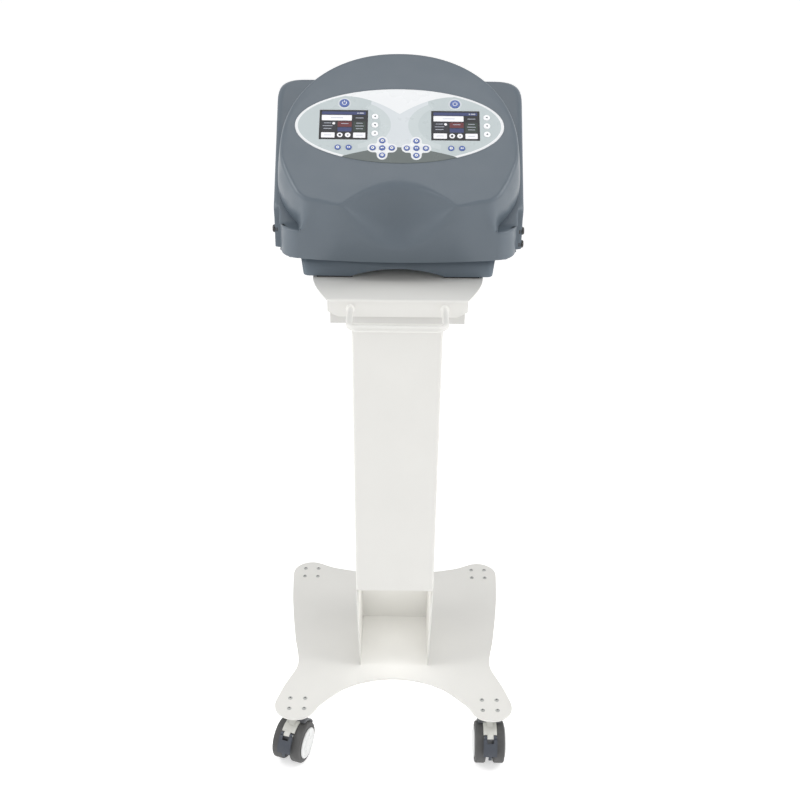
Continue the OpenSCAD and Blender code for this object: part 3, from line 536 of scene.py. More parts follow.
def bend(a, c, b, count):
    """Points of the parabola from a to b that starts and ends towards c, without a itself."""
    return [(1 - t) ** 2 * a + 2 * t * (1 - t) * c + t * t * b for t in np.linspace(0, 1, count)[1:]]


def front_shell_surface(edge, crown):
    """The raised face as one closed surface. Each row runs from the panel's opening over the face to the crease, round
    a fillet, down the flared wall (in the lower middle through the scoop under the brow) to the rim and back inside."""
    lines = []
    for (cu, cv), rim, stretch, s in half_rim():
        c, r = np.array([cu, cv, 0.0]), np.array(rim)
        q = atan2((cv - PANEL_V) / (PANEL_B + CLEAR), cu / (PANEL_A + CLEAR))
        hole = lambda d, w: np.array([(PANEL_A + d) * cos(q), PANEL_V + (PANEL_B + d) * sin(q), w])
        o = hole(CLEAR, 0)
        span = np.linalg.norm(c - o)
        hollow = max(1 - (cu / ARCH_W) ** 2, 0) if stretch == 3 else 0.0
        radius = edge + 8 * hollow
        out = [hole(CLEAR, -0.7), hole(CLEAR + 0.15, -0.2), hole(CLEAR + 0.6, 0)]
        for t in np.linspace(0.08, 1 - min(radius / span, 0.7), 12):
            out.append(o + (c - o) * t + np.array([0, 0, crown * sin(pi * t) ** 2]))
        if stretch <= 1:
            bulge = 2 * s if stretch == 0 else (2 + 3 * sin(pi * s)) * (1 - s**6)
            wall = lambda t: c + (r - c) * t + np.array([bulge * sin(pi * t), 0, 0])
        else:
            low = min(66 + 83 * (cu / ARCH_W) ** 2, 140) if abs(cu) < ARCH_W else 140.0
            end = to_z(r)
            foot = skin(cu, low)

            def wall(t):
                if t < 0.4:
                    return c + (foot - c) * t / 0.4 + REARWARD * 8.5 * hollow * sin(pi * t / 0.4)
                w = (t - 0.4) / 0.6
                return skin(cu + (r[0] - cu) * w, low + (end - low) * w)

        start = min(radius * 1.25 / (np.linalg.norm(wall(0.12) - c) / 0.12), 0.2)
        out += bend(out[-1], c, wall(start), 9)
        if stretch >= 2:  # soft lower edge of the scoop
            out += [wall(t) for t in np.linspace(start, 0.30, 8)[1:]]
            out += bend(wall(0.30), wall(0.4), wall(0.5), 8)
            out += [wall(t) for t in np.linspace(0.5, 1, 14)[1:]]
        else:
            out += [wall(t) for t in np.linspace(start, 1, 28)[1:]]
        inner = r + REARWARD * (0.0, 12.0 * max(s - 0.85, 0) / 0.15, 12.0, 4.0)[stretch]
        thin = [inner[0] * (1 - 3.4 / 185), PANEL_V + (inner[1] - PANEL_V) * (1 - 3.4 / 150), inner[2]]
        within = hole(-4.5, -5.5)
        out += [inner, np.array(thin), within * 0.25 + np.array([c[0], c[1], -5.5]) * 0.75 + np.array([0, 0, -3.0])]
        out += [within, hole(-4.5, -3.0), hole(CLEAR, -3.0)]
        lines.append(out)
    p = mirrored(np.array(lines))
    for passes, first in ((6, 12), (10, 19)):  # columns 15 to 22 are the fillet, 23 to 49 the wall
        p = smoothed(p, passes, slice(first, 48))
    return grid(on_face(p), True, True)


def to_z(point):
    """Height above the tray of a point in face coordinates."""
    return float(on_face(point)[2] - TRAY)


# ---------- the console's body


def body_section(z, inset=0.0, lower=False):
    """Half of a level section of the body at height z above the tray, from the middle of the front round to the middle
    of the rear: straight front on the sloping plane, rounded corner, side, rounded rear corner, rear."""
    w = 205.5 + 5 * (np.clip(z, LEDGE, TOP) - LEDGE) / (TOP - LEDGE)
    if z > TOP:
        w -= 61 * (1 - max(1 - ((z - TOP) / 30) ** 3, 0) ** (1 / 3))
    lip = inset if z < 45 else 0.0
    rear = REAR - lip if z < 267 else REAR - 4 + sqrt(max(16 - (z - 267) ** 2, 0))
    a = angles(-90, 0, 16)
    flare = np.array([(0.03, 1.2), (0.15, 2.0), (0.4, 2.3), (0.8, 2.6), (0.97, 3.6), (1.0, 5.0)])
    if lower:
        y, narrow = front_y(z, FRONT_W) + inset, 195.0 - inset
        front = at(np.linspace(0, 156, 13), y + 6 - inset)
        corner = at(FRONT_W + (narrow - FRONT_W) * np.cos(a), 20 + lip + (20 + lip - y) * np.sin(a))
        w = narrow + (w - narrow) * smooth_step(z)
        wing = at(narrow + flare[:, 0] * (w - narrow), 20 + lip + flare[:, 1])
    else:
        y = seat_y(z)
        narrow = w - min(10.5, (rear - y) * 0.4)
        r = float(np.clip((20 - y) * 0.5, 0.1, 5))
        front = at(np.linspace(0, narrow - r - 0.5, 13), y)
        corner = at(narrow - r + r * np.cos(a), y + r + r * np.sin(a))
        b = angles(12, 90, 6)
        quarter = at(np.sin(b), (w - narrow) * (1 - np.cos(b)) + r)
        k = float(ease((y - 12) / 14))
        shape = flare * (1 - k) + quarter * k
        wing = at(narrow + shape[:, 0] * (w - narrow), max(20.0, y) + shape[:, 1])
    turn = min(14.0, (rear - wing[-1, 1]) * 0.5)
    side = at(w, np.linspace(wing[-1, 1], rear - turn, 24)[1:-1])
    a = angles(0, 90, 12)
    back = at(w - turn + turn * np.cos(a), rear - turn + turn * np.sin(a))
    tail = at(np.concatenate([np.linspace(w - turn, 150, 5)[1:], np.linspace(150, 10, 21)[1:], [0.0]]), rear)
    return np.vstack([front, corner, wing, side, back, tail])


def smooth_step(z):
    """How far the body's sides stand out at height z: they start 3 to 5 mm above the lower lip."""
    return float(ease((z - 41.2) / 1.6))


SLOTS = [(23.5 + 18 * k, 180.0) for k in range(7)]
GRILLE = (10.0, 150.0, 140.0, 220.0)  # the rear wall's window: left, right, low, high


def body_surface():
    """Level sections stacked from the lower lip to the top. The ledge beside the face is the ring between two sections
    of one height. A window in the rear wall is filled by a flat sheet with seven air slots."""
    rounding = ((0.2, 3.0), (0.0, 2.0), (0.3, 0.8), (1.2, 0.15), (2.2, 0.0), (3.2, 0.0))
    levels = [(LIP + up, inset, True) for up, inset in rounding]
    levels += [(z, 0.0, True) for z in (41.6, 42.0, 42.4, 42.8, *np.linspace(45, 88.5, 13))]
    levels += [(LEDGE - 4 + 4 * sin(q), 4 * (1 - cos(q)), True) for q in angles(15, 90, 6)]
    stretches = (np.linspace(LEDGE, 140, 14), np.linspace(140, 220, 21)[1:], np.linspace(220, TOP, 6)[1:])
    heights = np.concatenate([*stretches, TOP + 30 * np.sin(angles(0, 90, 26))[1:-1], [TOP + 29.97]])
    levels += [(float(z), 0.0, False) for z in heights]
    p = np.array([at(*mirrored(body_section(*level)).T, level[0] + TRAY) for level in levels])
    v, f = grid(p, False, True)
    n = p.shape[1]
    ends = [list(range(n))[::-1], [len(v) - n + k for k in range(n)]]
    x0, x1, z0, z1 = GRILLE
    quads = np.array(f)
    x, y, z = v[quads].mean(1).T
    window = (x > x0) & (x < x1) & (z > z0 + TRAY) & (z < z1 + TRAY) & (y > REAR - 0.1)
    corners = np.round(v[quads[window]], 4)
    xs, zs = np.unique(corners[..., 0]), np.unique(corners[..., 2]) - TRAY
    border = [(x, zs[0]) for x in xs[:-1]] + [(xs[-1], z) for z in zs[:-1]]
    border += [(x, zs[-1]) for x in xs[:0:-1]] + [(xs[0], z) for z in zs[:0:-1]]
    slots = [bar(x, z, 7, 60, 3.2, 6) for x, z in SLOTS]
    sheet, faces, _ = flat(np.array(border), slots)
    parts = [(v, quads[~window].tolist() + ends, 0), (at(sheet[:, 0], REAR, sheet[:, 1] + TRAY), faces.tolist(), 0)]
    # each slot has walls 3.2 mm deep, closed at their inner end by a black face: painted shade standing for the dark
    # inside of the console
    for q in slots:
        deep = np.array([at(q[:, 0], y, q[:, 1] + TRAY) for y in (REAR, REAR - 3.2)])
        parts += [(*grid(deep, False, True), 0), (deep[1], [list(range(len(q)))], 1)]
    return join(*parts)


# ---------- the control panel

KEYS = {}  # name: middle across and up the face, radius, kind
for side, s in (("left", -1), ("right", 1)):
    KEYS[f"key_power_{side}"] = (s * 90.6, 193.0, 8.0, "power")
    for name, k in (("up", 1), ("select", 0), ("down", -1)):
        KEYS[f"key_{side}_{name}"] = (s * SCREEN_U + 51, 149.5 + 16.7 * k, 5.5, "arrow")
    for name, du, dv in (("ok", 0, 0), ("up", 0, 14.2), ("down", 0, -14.2), ("back", -15.4, 0), ("next", 15.4, 0)):
        KEYS[f"pad_{side}_{name}"] = (s * PAD_U + du, PAD_V + dv, 5.0, "wide" if name == "ok" else "ring")
    for name, d in (("cold", -8.8), ("hot", 8.8)):
        KEYS[f"key_{side}_{name}"] = (s * 91.4 + 1 + d, 104.8, 5.0, "ring" if name == "cold" else "wide")


def cross(u, v, reach_u=15.4, reach_v=14.2, r=8.6, soft=3.2):
    """The white backing of a four-way pad: two crossed bars with round ends and soft inner corners, anticlockwise."""
    out = []
    far = sqrt(2) * (r + soft)
    for turn, reach in ((0, reach_u), (90, reach_v), (180, reach_u), (270, reach_v)):
        a, b = radians(turn), radians(turn + 45)
        out += arc(u + reach * cos(a), v + reach * sin(a), r, turn - 90, turn + 90, 15)
        out += arc(u + far * cos(b), v + far * sin(b), soft, turn - 103.5, turn - 166.5, 5)
    return np.array(out)


def wedge_top(u):
    """Upper edge of the dark wedge at the panel's foot."""
    return 106 - 17.6 * (np.abs(u) / SCREEN_U) ** 1.7


def crown_edge(u):
    """Lower edge of the white field along the panel's top."""
    return 172 + 35.5 * (1 - np.maximum(1 - np.abs(u) / 88, 0) ** 1.85)


def panel_surface():
    """The panel: a flat ellipse with openings for the keys and screens, its face split along the borders of its
    printed fields, walls down through each opening, and a rounded rim. Materials by number: 0 grey, 1 pale, 2 mid,
    3 white, 4 dark."""
    outer = ellipse(0, PANEL_V, PANEL_A, PANEL_B, 240)
    holes = [ellipse(u, v, r + 0.2, r + 0.2, 40) for u, v, r, _ in KEYS.values()]
    holes += [bar(s * SCREEN_U, SCREEN_V, 79, 59.5, 0.8, 4) for s in (-1, 1)]
    inner = ellipse(0, PANEL_V, 165.2, 70.2, 200)
    lobes = [ellipse(s * 80, SCREEN_V, 66, 48, 120) for s in (-1, 1)]
    cores = [ellipse(s * 80, SCREEN_V, 49.5, 39.5, 100) for s in (-1, 1)]
    crosses = [cross(s * PAD_U, PAD_V) for s in (-1, 1)]
    halos = [ellipse(s * 90.6, 193, 10.8, 10.8, 48) for s in (-1, 1)]
    u = np.linspace(SCREEN_U, -SCREEN_U, 80)
    wedge = np.vstack([at(u, wedge_top(u)), [(-SCREEN_U, 60), (SCREEN_U, 60)]])
    u = np.linspace(-88, 88, 81)
    crown = np.vstack([at(u, crown_edge(u)), [(88, 240), (-88, 240)]])
    v, f, c = flat(outer, holes, [inner, *lobes, *cores, *crosses, *halos, wedge, crown])
    kind = np.full(len(c), 3)
    within = inside(c, inner)
    kind[within] = 0
    in_lobe = inside(c, lobes[0]) | inside(c, lobes[1])
    in_core = inside(c, cores[0]) | inside(c, cores[1])
    kind[within & in_lobe & ~in_core & (np.abs(c[:, 0]) < 66) & (c[:, 1] < 188)] = 2
    kind[within & ~in_lobe & (np.abs(c[:, 0]) < 46) & (c[:, 1] > 96)] = 1
    kind[inside(c, crown)] = 3
    kind[inside(c, wedge)] = 4
    for q in halos:
        kind[inside(c, q)] = 1
    for q in crosses:
        kind[inside(c, q)] = 3
    front, back = on_face(at(*v.T, 0.0)), on_face(at(*v.T, -3.0))
    parts = [(front, f.tolist(), kind.tolist()), (back, f[:, ::-1].tolist(), 3)]
    for q in holes:
        parts.append((*grid(on_face([at(*q.T, w) for w in (0.0, -3.0)]), False, True), 3))
    rim = [(0, 0.0), (0.3, -0.06), (0.46, -0.25), (0.5, -0.5), (0.5, -2.6), (0, -3.0)]
    wall = np.array([at(*ellipse(0, PANEL_V, PANEL_A + d, PANEL_B + d, 240).T, w) for d, w in rim])
    verts, faces = grid(on_face(wall), False, True)
    x, y, _ = wall.reshape(-1, 3)[np.array(faces)].mean(1).T
    parts.append((verts, faces, np.where((np.abs(x) < SCREEN_U) & (y < PANEL_V), 4, 3).tolist()))
    return join(*parts)


def screen_surface(s):
    """A screen: black glass frame, then blocks of a plain menu as flush fields, over the module behind the panel."""
    u0, v0 = s * SCREEN_U, SCREEN_V
    blocks = (  # left, low, right and high from the screen's middle, finish
        (-35.8, 20.6, 35.8, 26.6, 1),
        (-35.8, 8.6, 13.2, 19.4, 2),
        (16.0, 9.6, 35.8, 18.6, 0),
        (-35.8, -12.4, -12.0, 6.6, 3),
        (-9.6, -4.0, 13.2, 6.6, 4),
        (-9.6, -13.4, 13.2, -5.2, 1),
        (16.0, -13.4, 35.8, 6.6, 5),
        (-35.8, -25.6, -14.0, -15.4, 2),
        (16.0, -25.6, 35.8, -15.4, 2),
    )
    marks = (  # middle from the screen's middle, width, height
        (29, 23.6, 7, 2.4),
        (23, 23.6, 2.4, 2.4),
        (-11, 14, 20, 1.2),
        (26, 14, 13, 1.2),
        (-26, 3.4, 12, 1.1),
        (26, 3.4, 10.8, 1.1),
        (-26, -2.2, 16, 1.1),
        (26, -2.2, 14.4, 1.1),
        (-26, -7.6, 13, 1.1),
        (26, -7.6, 11.7, 1.1),
        (2, 2.4, 12, 1.1),
        (-25, -20.5, 12, 1.2),
        (26, -20.5, 11, 1.2),
    )
    dots = (  # middle from the screen's middle, radius, number of points, finish
        (-16, 2.8, 2.4, 24, 2),
        (-5.6, -20.2, 4.6, 32, 2),
        (-5.6, -20.2, 2.2, 20, 0),
        (7.2, -20.2, 4.6, 32, 2),
        (7.2, -20.2, 1.3, 20, 0),
    )
    shapes = [(bar(u0, v0, 74, 55.6, 0.8, 4), 0)]
    shapes += [(bar(u0 + (a + c) / 2, v0 + (b + d) / 2, c - a, d - b, 1.0, 4), k) for a, b, c, d, k in blocks]
    shapes += [(bar(u0 + x, v0 + y, w, h, 0.5 if h > 2 else 0.4, 3), 6) for x, y, w, h in marks]
    shapes += [(ellipse(u0 + x, v0 + y, r, r, count), k) for x, y, r, count, k in dots]
    outer = bar(u0, v0, 78.2, 58.7, 0.6, 4)
    v, f, c = flat(outer, (), [q for q, _ in shapes])
    kind = np.zeros(len(c), int)
    for q, k in shapes:
        kind[inside(c, q)] = k
    rim = bar(u0, v0, 78.6, 59.1, 0.8, 4)
    side = [at(*q.T, w) for q, w in ((outer, -0.6), (rim, -0.8), (rim, -3.5), (outer, -3.5))]
    parts = [(on_face(at(*v.T, -0.6)), f.tolist(), kind.tolist()), (*grid(on_face(side), False, True), 0)]
    module = slab(bar(u0, v0, 85, 65.5, 2, 5), -7.0, -3.2, 0.5)
    plug = slab(bar(u0, v0 - 3, 24, 10, 1, 4), -9.4, -6.8, 0.3)
    parts += [(on_face(verts), faces, 0) for verts, faces in (module, plug)]
    return join(*parts)


def key_surface(u, v, r, kind, dish):
    """A key cap: a profile carried round the key's axis, with a rounded top edge and a shallow dish whose depth falls
    with the square of the radius. Its sign is a thin raised form on the dish."""
    up = 1.2  # height of the top's rim above the panel
    sit = up - dish
    rings = [(0.0, sit)]
    rings += [(q * (r - 0.9), up - dish * (1 - q * q)) for q in np.linspace(0.12, 1, 12)]
    rings += [(r - 0.9 + 0.9 * sin(a), up - 0.9 + 0.9 * cos(a)) for a in angles(15, 90, 6)]
    rings += [(r, -2.8), (r + 0.9, -3.15), (r + 0.9, -4.3), (0.0, -4.3)]
    verts, faces = revolved(rings, 64)
    x, y, z = verts[np.array(faces)].mean(1).T
    inner = {"ring": 0.52, "power": 0.0, "arrow": 2.0, "wide": 0.0}[kind] * r
    parts = [(verts, faces, np.where((np.hypot(x, y) < inner) & (z > 0.2), 1, 0).tolist())]
    if kind == "power":
        a = angles(130, 410, 40)
        parts.append((*tube(at(3.4 * np.cos(a), 3.4 * np.sin(a), sit + dish * 0.3), 0.5, 12), 2))
    signs = {
        "power": [bar(0, 3.2, 1.0, 3.8, 0.45, 4)],
        "arrow": [[(-1.7, 0.0), (1.0, -1.6), (1.35, -1.2), (1.35, 1.2), (1.0, 1.6)]],
        "wide": [bar(-1.3, 0, 1.9, 2.4, 0.6, 4), bar(1.3, 0, 1.9, 2.4, 0.6, 4)],
        "ring": [bar(0, 0, 1.6, 1.6, 0.5, 4)],
    }
    parts += [(*slab(q, sit - 0.25, sit + dish * 0.6 + 0.12, 0.05, 2), 2) for q in signs[kind]]
    points, faces, numbers = join(*parts)
    return on_face(points + np.array([u, v, 0.0])), faces, numbers


# ---------- trolley


def column_surface(fold):
    """The column's sheet: a U-shaped path (rear left, front left fold, front, front right fold, rear right) whose half
    width grows with height, 65 at the foot, 71 where the front sheet ends, 75 at the head. Below that edge and in the
    cable slot the sheet is left out."""
    edge, head, face = 274, 816, -84.0  # lower end of the front sheet, the head, the front's depth
    z = np.unique(np.concatenate([np.linspace(PLATE, edge, 25), [132, 154], np.linspace(edge, head - 0.2, 60)]))
    w = np.interp(z, [PLATE, edge, head], [65, 71, 75.0])
    w = np.convolve(np.pad(w, 3, mode="reflect", reflect_type="odd"), np.ones(7) / 7, "valid")
    ys = np.unique(np.concatenate([np.linspace(57.8, face + fold, 22), [-38.0, -34.0]]))[::-1]
    rows = []
    for height, half in zip(z, w):
        left = [(-half, y) for y in ys] + arc(fold - half, face + fold, fold, 180, 270, 9)[1:]
        front = [(x, face) for x in np.linspace(fold - half, half - fold, 14)[1:-1]]
        rows.append([(x, y, height) for x, y in left + front + [(-x, y) for x, y in left[::-1]]])
    p = np.array(rows)
    v, f = grid(p)
    x, y, z = v[np.array(f)].mean(1).T
    below = np.clip(edge - p[..., 2], 0, None)
    drawn = np.clip((-40 - p[..., 1]) / (-40 - face - fold), 0, 1)
    p[..., 1] -= (8 * below / (edge - PLATE) + fold * np.minimum(below / 3, 1)) * drawn
    open_front = (z < edge) & (y < face + fold * 0.9)
    slot = (x > 50) & (z > 132) & (z < 154) & (y < -34) & (y > -38)
    return p.reshape(-1, 3), [q for q, gone in zip(f, open_front | slot) if not gone]


def tray_outline():
    """Half outline of the tray, from the middle of the front to the middle of the rear: straight front, sides that
    flare by 1 - (1-t)^1.6 to the full width, then straight back."""
    w, f, r = 142.0, 113.0, 12.0  # half width, half width of the front, radius of the rear corners
    half = [(x, -100) for x in np.linspace(0, f, 14)[:-1]]
    half += [(f + (w - f) * (1 - (1 - t) ** 1.6), -100 + 98 * t) for t in np.linspace(0, 1, 26)]
    half += [(w, y) for y in np.linspace(-2, 220, 16)[1:]] + arc(w - r, 220, r, 10, 90, 9)
    half += [(x, 220 + r) for x in np.linspace(w - r, 0, 8)[1:]]
    return np.array(half)


def tray_surface(fold):
    """The tray's sheet as one skin: a flat top whose front edge folds down through a quarter circle into a flange with
    cut lower corners. The sides and the rear fold down too, behind the flared part."""
    ring = mirrored(tray_outline())
    n = len(ring)
    x, y = ring.T
    front = y < -99.9
    folded = front | (y > 60)
    d = np.roll(ring, -1, 0) - np.roll(ring, 1, 0)
    normal = at(d[:, 1], -d[:, 0]) / np.linalg.norm(d, axis=1)[:, None]
    normal[front] = (0, -1)
    rows = []
    for q in np.linspace(0, pi / 2, 7):
        inset, drop = np.where(folded, fold * (1 - sin(q)), 0.0), np.where(folded, fold * (1 - cos(q)), 0.0)
        rows.append(at(*(ring - normal * inset[:, None]).T, TRAY - drop))
    parts = [(rows[0], [list(range(n))], 0)]
    # flange below the fold: its height falls off over the last 15 mm towards the cut corners
    depth = np.where(front, 29.0 - np.clip(np.abs(x) - 98, 0, 15) * 0.62, 24.0)
    flange = [at(x, y, TRAY - fold - (depth - fold) * t) for t in np.linspace(0, 1, 8)]
    for band in (rows, flange):
        verts, faces = grid(np.array(band), False, True)
        quads = np.array(faces)
        parts.append((verts, quads[folded[quads % n].all(1)].tolist(), 0))
    return join(*parts)


def handle_path():
    """The handle's middle line: out of the flange, round a bend of 16 mm, across and back."""
    r, reach = 16, -160  # radius of the bends, depth at which they start
    left = [(-HANDLE_X, y) for y in np.linspace(-99.0, reach, 10)] + arc(r - HANDLE_X, reach, r, 180, 270, 18)[1:]
    across = [(x, reach - r) for x in np.linspace(r - HANDLE_X, HANDLE_X - r, 20)[1:-1]]
    return np.array([(x, y, HANDLE_Z) for x, y in left + across + [(-x, y) for x, y in left[::-1]]])


def base_outline():
    """The base plate: four round lobes over the casters joined by waisted sides, anticlockwise."""
    half = [(0, -129), (34, -133), (66, -143), (95, -160), (118, -184)] + arc(177, -202, 39, 186, 385, 70)
    half += [(203, -152), (192, -124), (184, -105), (181, -88), (184, -60), (192, -19), (201, 50)]
    half += [(208, 115), (211, 165)] + arc(175, 200, 38, 0, 128, 48) + [(130, 219), (92, 209), (46, 205), (0, 204)]
    full = mirrored(np.array(half, float))
    # resample evenly, then round the joints between the stretches
    closed = np.vstack([full, full[:1]])
    s = np.concatenate([[0], np.cumsum(np.linalg.norm(np.diff(closed, axis=0), axis=1))])
    t = np.linspace(0, s[-1], 640, endpoint=False)
    return smoothed(at(np.interp(t, s, closed[:, 0]), np.interp(t, s, closed[:, 1])), 10)


TYRE = [(4.06, 0.0), (30.0, 0.0), (33.6, 0.5)]  # profiles of (radius, distance from the inner face)
TYRE += [(34.0 + 3.5 * sin(a), 4.1 - 3.5 * cos(a)) for a in angles(8, 90, 8)]
TYRE += [(37.5, 10.2), (37.5, 16.4), *arc(34.0, 16.6, 3.5, 8, 90, 8)]
TYRE += [(31.0, 20.4), (29.2, 20.1), (28.6, 19.0), (4.06, 19.0)]
DISC = [(4.06, 20.4), (28.0, 20.4), (28.3, 21.3), (27.6, 22.4), (26.2, 22.9), (24.6, 22.9), (23.6, 22.2), (20.0, 21.6)]
DISC += [(12.0, 21.5), (10.6, 21.9), (9.6, 22.8), (8.2, 23.0), (0.0, 23.0), (0.0, 21.9), (4.06, 21.9)]
PORT = [(2.6, -8.0), (2.6, 3.2), (2.9, 3.7), (3.3, 3.85)]  # profiles of (radius, distance out of the wall)
PORT += [(4.2 + 2.2 * sin(a), 1.7 + 2.1 * cos(a)) for a in angles(10, 80, 8)]
PORT += [(6.6, 1.3), (6.7, 0.9), (6.7, 0.0), (5.0, -0.02), (4.95, -14.0), (2.6, -14.0)]
PORT_NUT = [(6.5, -3.0), (6.5, -5.0), (4.95, -5.0), (4.95, -3.0)]
COLLAR = [(0, 0), (5.3, 0), (7.6, 0.0), (7.2, 0.9), (6.2, 1.8), (5.3, 2.6), (0, 2.6)]
COLLAR_NUT = [(0, 2.6), (0, 6.4), (4.4, 6.4), (5, 5.8), (5, 2.6)]
SCREW = [(0.0, 1.9)] + [(4.0 * sin(a), 0.25 + 1.65 * cos(a)) for a in angles(12, 88, 9)]
SCREW += [(4.0, 0.0), (3.0, 0.0), (3.0, -11.0), (0, -11.0)]
# a black hexagon flush with the head's top: painted shade standing for the screw's hex socket
SCREW_SOCKET_SHADE = [(0.0, 0.9), (1.5, 0.9), (1.5, 1.95), (0.0, 1.95)]
SCREW_NUT = [(2.5, -10.5), (4.6, -10.5), (5.0, -10.0), (5.0, -7.4), (4.6, -7.0), (2.5, -7.0)]


# ---------- operators


FOLDED = dict(thickness=2.5, edge=0.5, segments=2, angle=50)  # sheet metal made from a skin
COLOUR = dict(subtype="COLOR_GAMMA", size=3, min=0, max=1)


class TherapyMachineSettings(bpy.types.PropertyGroup):
    shell_colour: FloatVectorProperty(
        name="Console colour", description="Colour of the console's mouldings", default=rgb(94, 104, 113), **COLOUR
    )
    paint_colour: FloatVectorProperty(
        name="Trolley paint", description="Colour of the trolley's powder coat", default=rgb(231, 230, 226), **COLOUR
    )
    panel_colour: FloatVectorProperty(
        name="Panel colour",
        description="Ground colour of the printed control panel",
        default=rgb(182, 192, 194),
        **COLOUR,
    )
    key_colour: FloatVectorProperty(
        name="Key colour", description="Colour of the blue keys", default=rgb(62, 90, 160), **COLOUR
    )
    crease_radius: FloatProperty(
        name="Crease radius",
        description="Rounding of the raised face's edge in millimetres",
        default=6.0,
        min=2.0,
        max=10.0,
    )
    face_crown: FloatProperty(
        name="Face crown",
        description="Bulge of the face between panel and crease in millimetres",
        default=1.2,
        min=0.0,
        max=3.0,
    )
    key_dish: FloatProperty(
        name="Key dish",
        description="Depth of the hollow in each key's top in millimetres",
        default=0.35,
        min=0.0,
        max=0.6,
    )
    fold_radius: FloatProperty(
        name="Sheet fold radius",
        description="Outer radius of the folds in the trolley's sheet metal in millimetres",
        default=4.0,
        min=2.5,
        max=6.0,
    )
    backdrop: BoolProperty(name="Studio", description="Build the floor, lights and camera", default=True)


class PieceOperator:
    bl_options = {"REGISTER", "UNDO"}

    def execute(self, context):
        self.make(context.scene.therapy_machine)
        return {"FINISHED"}


class THERAPY_OT_front_shell(PieceOperator, bpy.types.Operator):
    """Builds the console's raised face moulding"""

    bl_idname = "therapy.front_shell"
    bl_label = "Front Moulding"

    def make(self, s):
        surface = front_shell_surface(s.crease_radius, s.face_crown)
        piece("front_moulding", surface, ["shell"], "trolley", ["front_shell"], "shell_plastic", soften=42)


class THERAPY_OT_rear_shell(PieceOperator, bpy.types.Operator):
    """Builds the console's body with its ledges and air slots"""

    bl_idname = "therapy.rear_shell"
    bl_label = "Console Body"

    def make(self, s):
        # the second finish is the black face of painted shade at the back of each air slot
        finishes = ["shell", "black plastic and painted shade"]
        piece("console_body", body_surface(), finishes, "trolley", ["rear_shell"], "shell_plastic", soften=42)


class THERAPY_OT_pan(PieceOperator, bpy.types.Operator):
    """Builds the console's lower pan and rubber feet"""

    bl_idname = "therapy.pan"
    bl_label = "Pan and Feet"

    def make(self, s):
        softened("base_pan", "lower_pan", ["pan"], "trolley", 1.8, 4)
        softened("rubber_feet", "feet", ["rubber"], "trolley", 0.8)


class THERAPY_OT_panel(PieceOperator, bpy.types.Operator):
    """Builds the printed control panel"""

    bl_idname = "therapy.panel"
    bl_label = "Control Panel"

    def make(self, s):
        finishes = ["film grey", "film pale", "film mid", "film white", "film dark"]
        piece("panel_film", panel_surface(), finishes, "trolley", ["control_panel"], "panel_film", soften=28)


class THERAPY_OT_screens(PieceOperator, bpy.types.Operator):
    """Builds the two screens"""

    bl_idname = "therapy.screens"
    bl_label = "Screens"

    def make(self, s):
        kinds = ["lcd black", "lcd navy", "lcd white", "lcd slate", "lcd maroon", "lcd green", "lcd grey"]
        for name, side in (("left", -1), ("right", 1)):
            piece(f"screen_{name}", screen_surface(side), kinds, "trolley", [f"display_{name}"], "screen", soften=28)


class THERAPY_OT_keys(PieceOperator, bpy.types.Operator):
    """Builds the twenty-two keys"""

    bl_idname = "therapy.keys"
    bl_label = "Keys"

    def make(self, s):
        for name, (u, v, r, kind) in KEYS.items():
            white = kind == "arrow"
            sign = "key dot" if kind in ("arrow", "ring") else "key white"
            finishes = ["key white" if white else "key blue", "key white", sign]
            slot = "key_white" if white else ("key_blue" if kind == "power" else "key_ring")
            piece(f"cap_{name}", key_surface(u, v, r, kind, s.key_dish), finishes, name, [name], slot, soften=40)


class THERAPY_OT_sockets(PieceOperator, bpy.types.Operator):
    """Builds the hose ports, the mains inlet and its rocker"""

    bl_idname = "therapy.sockets"
    bl_label = "Ports and Inlet"

    def make(self, s):
        parts = []
        for side, z in ((-1, 73), (1, 73), (1, 50)):
            for shape in (revolved(PORT, 72), revolved(PORT_NUT, 6)):
                parts.append(placed(shape, (205.4 * side, 28, TRAY + z), 90 * side, 1))
        piece("ports", join(*parts), ["port black"], "trolley", ["hose_ports"], "port_black", soften=32)

        def pin(c, n):
            level = abs(c[2] - TRAY - 77) < 4 and abs(n[1]) < 0.9
            return 1 if level and -144 < c[0] < -126 and 216 < c[1] < 231 else 0

        softened("power_inlet", "inlet", ["black plastic and painted shade", "steel"], "trolley", 0.5, pick=pin)
        softened("rocker_switch", "mains_rocker_cap", ["rocker"], "rocker", 0.5)


class THERAPY_OT_column(PieceOperator, bpy.types.Operator):
    """Builds the column's sheets, its bolts and the head bracket"""

    bl_idname = "therapy.column"
    bl_label = "Column"

    def make(self, s):
        surface = column_surface(s.fold_radius)
        piece("column_sheet", surface, ["paint"], "trolley", ["column_shell"], "powder_coat", **FOLDED)
        softened("column_back", "column_rear", ["paint"], "trolley", 0.5)
        softened("column_bolts", "bolts", ["zinc"], "trolley", 0.4)
        # the head bracket takes the darker copy of the paint, painted shade for its place under the tray
        softened("head_bracket", "head_box", ["paint with painted shade"], "trolley", 0.8)


class THERAPY_OT_tray(PieceOperator, bpy.types.Operator):
    """Builds the tray and its push handle"""

    bl_idname = "therapy.tray"
    bl_label = "Tray and Handle"

    def make(self, s):
        piece("tray_sheet", tray_surface(s.fold_radius), ["paint"], "trolley", ["tray"], "powder_coat", **FOLDED)
        parts = [(*tube(handle_path(), 5.25), 0)]
        for x in (-HANDLE_X, HANDLE_X):
            parts.append(placed(revolved(COLLAR, 48), (x, -100, HANDLE_Z), 90, 0))
            parts.append(placed(revolved(COLLAR_NUT, 6), (x, -100, HANDLE_Z), -90, 0))
        piece("push_bar", join(*parts), ["paint"], "trolley", ["handle"], "powder_coat", soften=40)


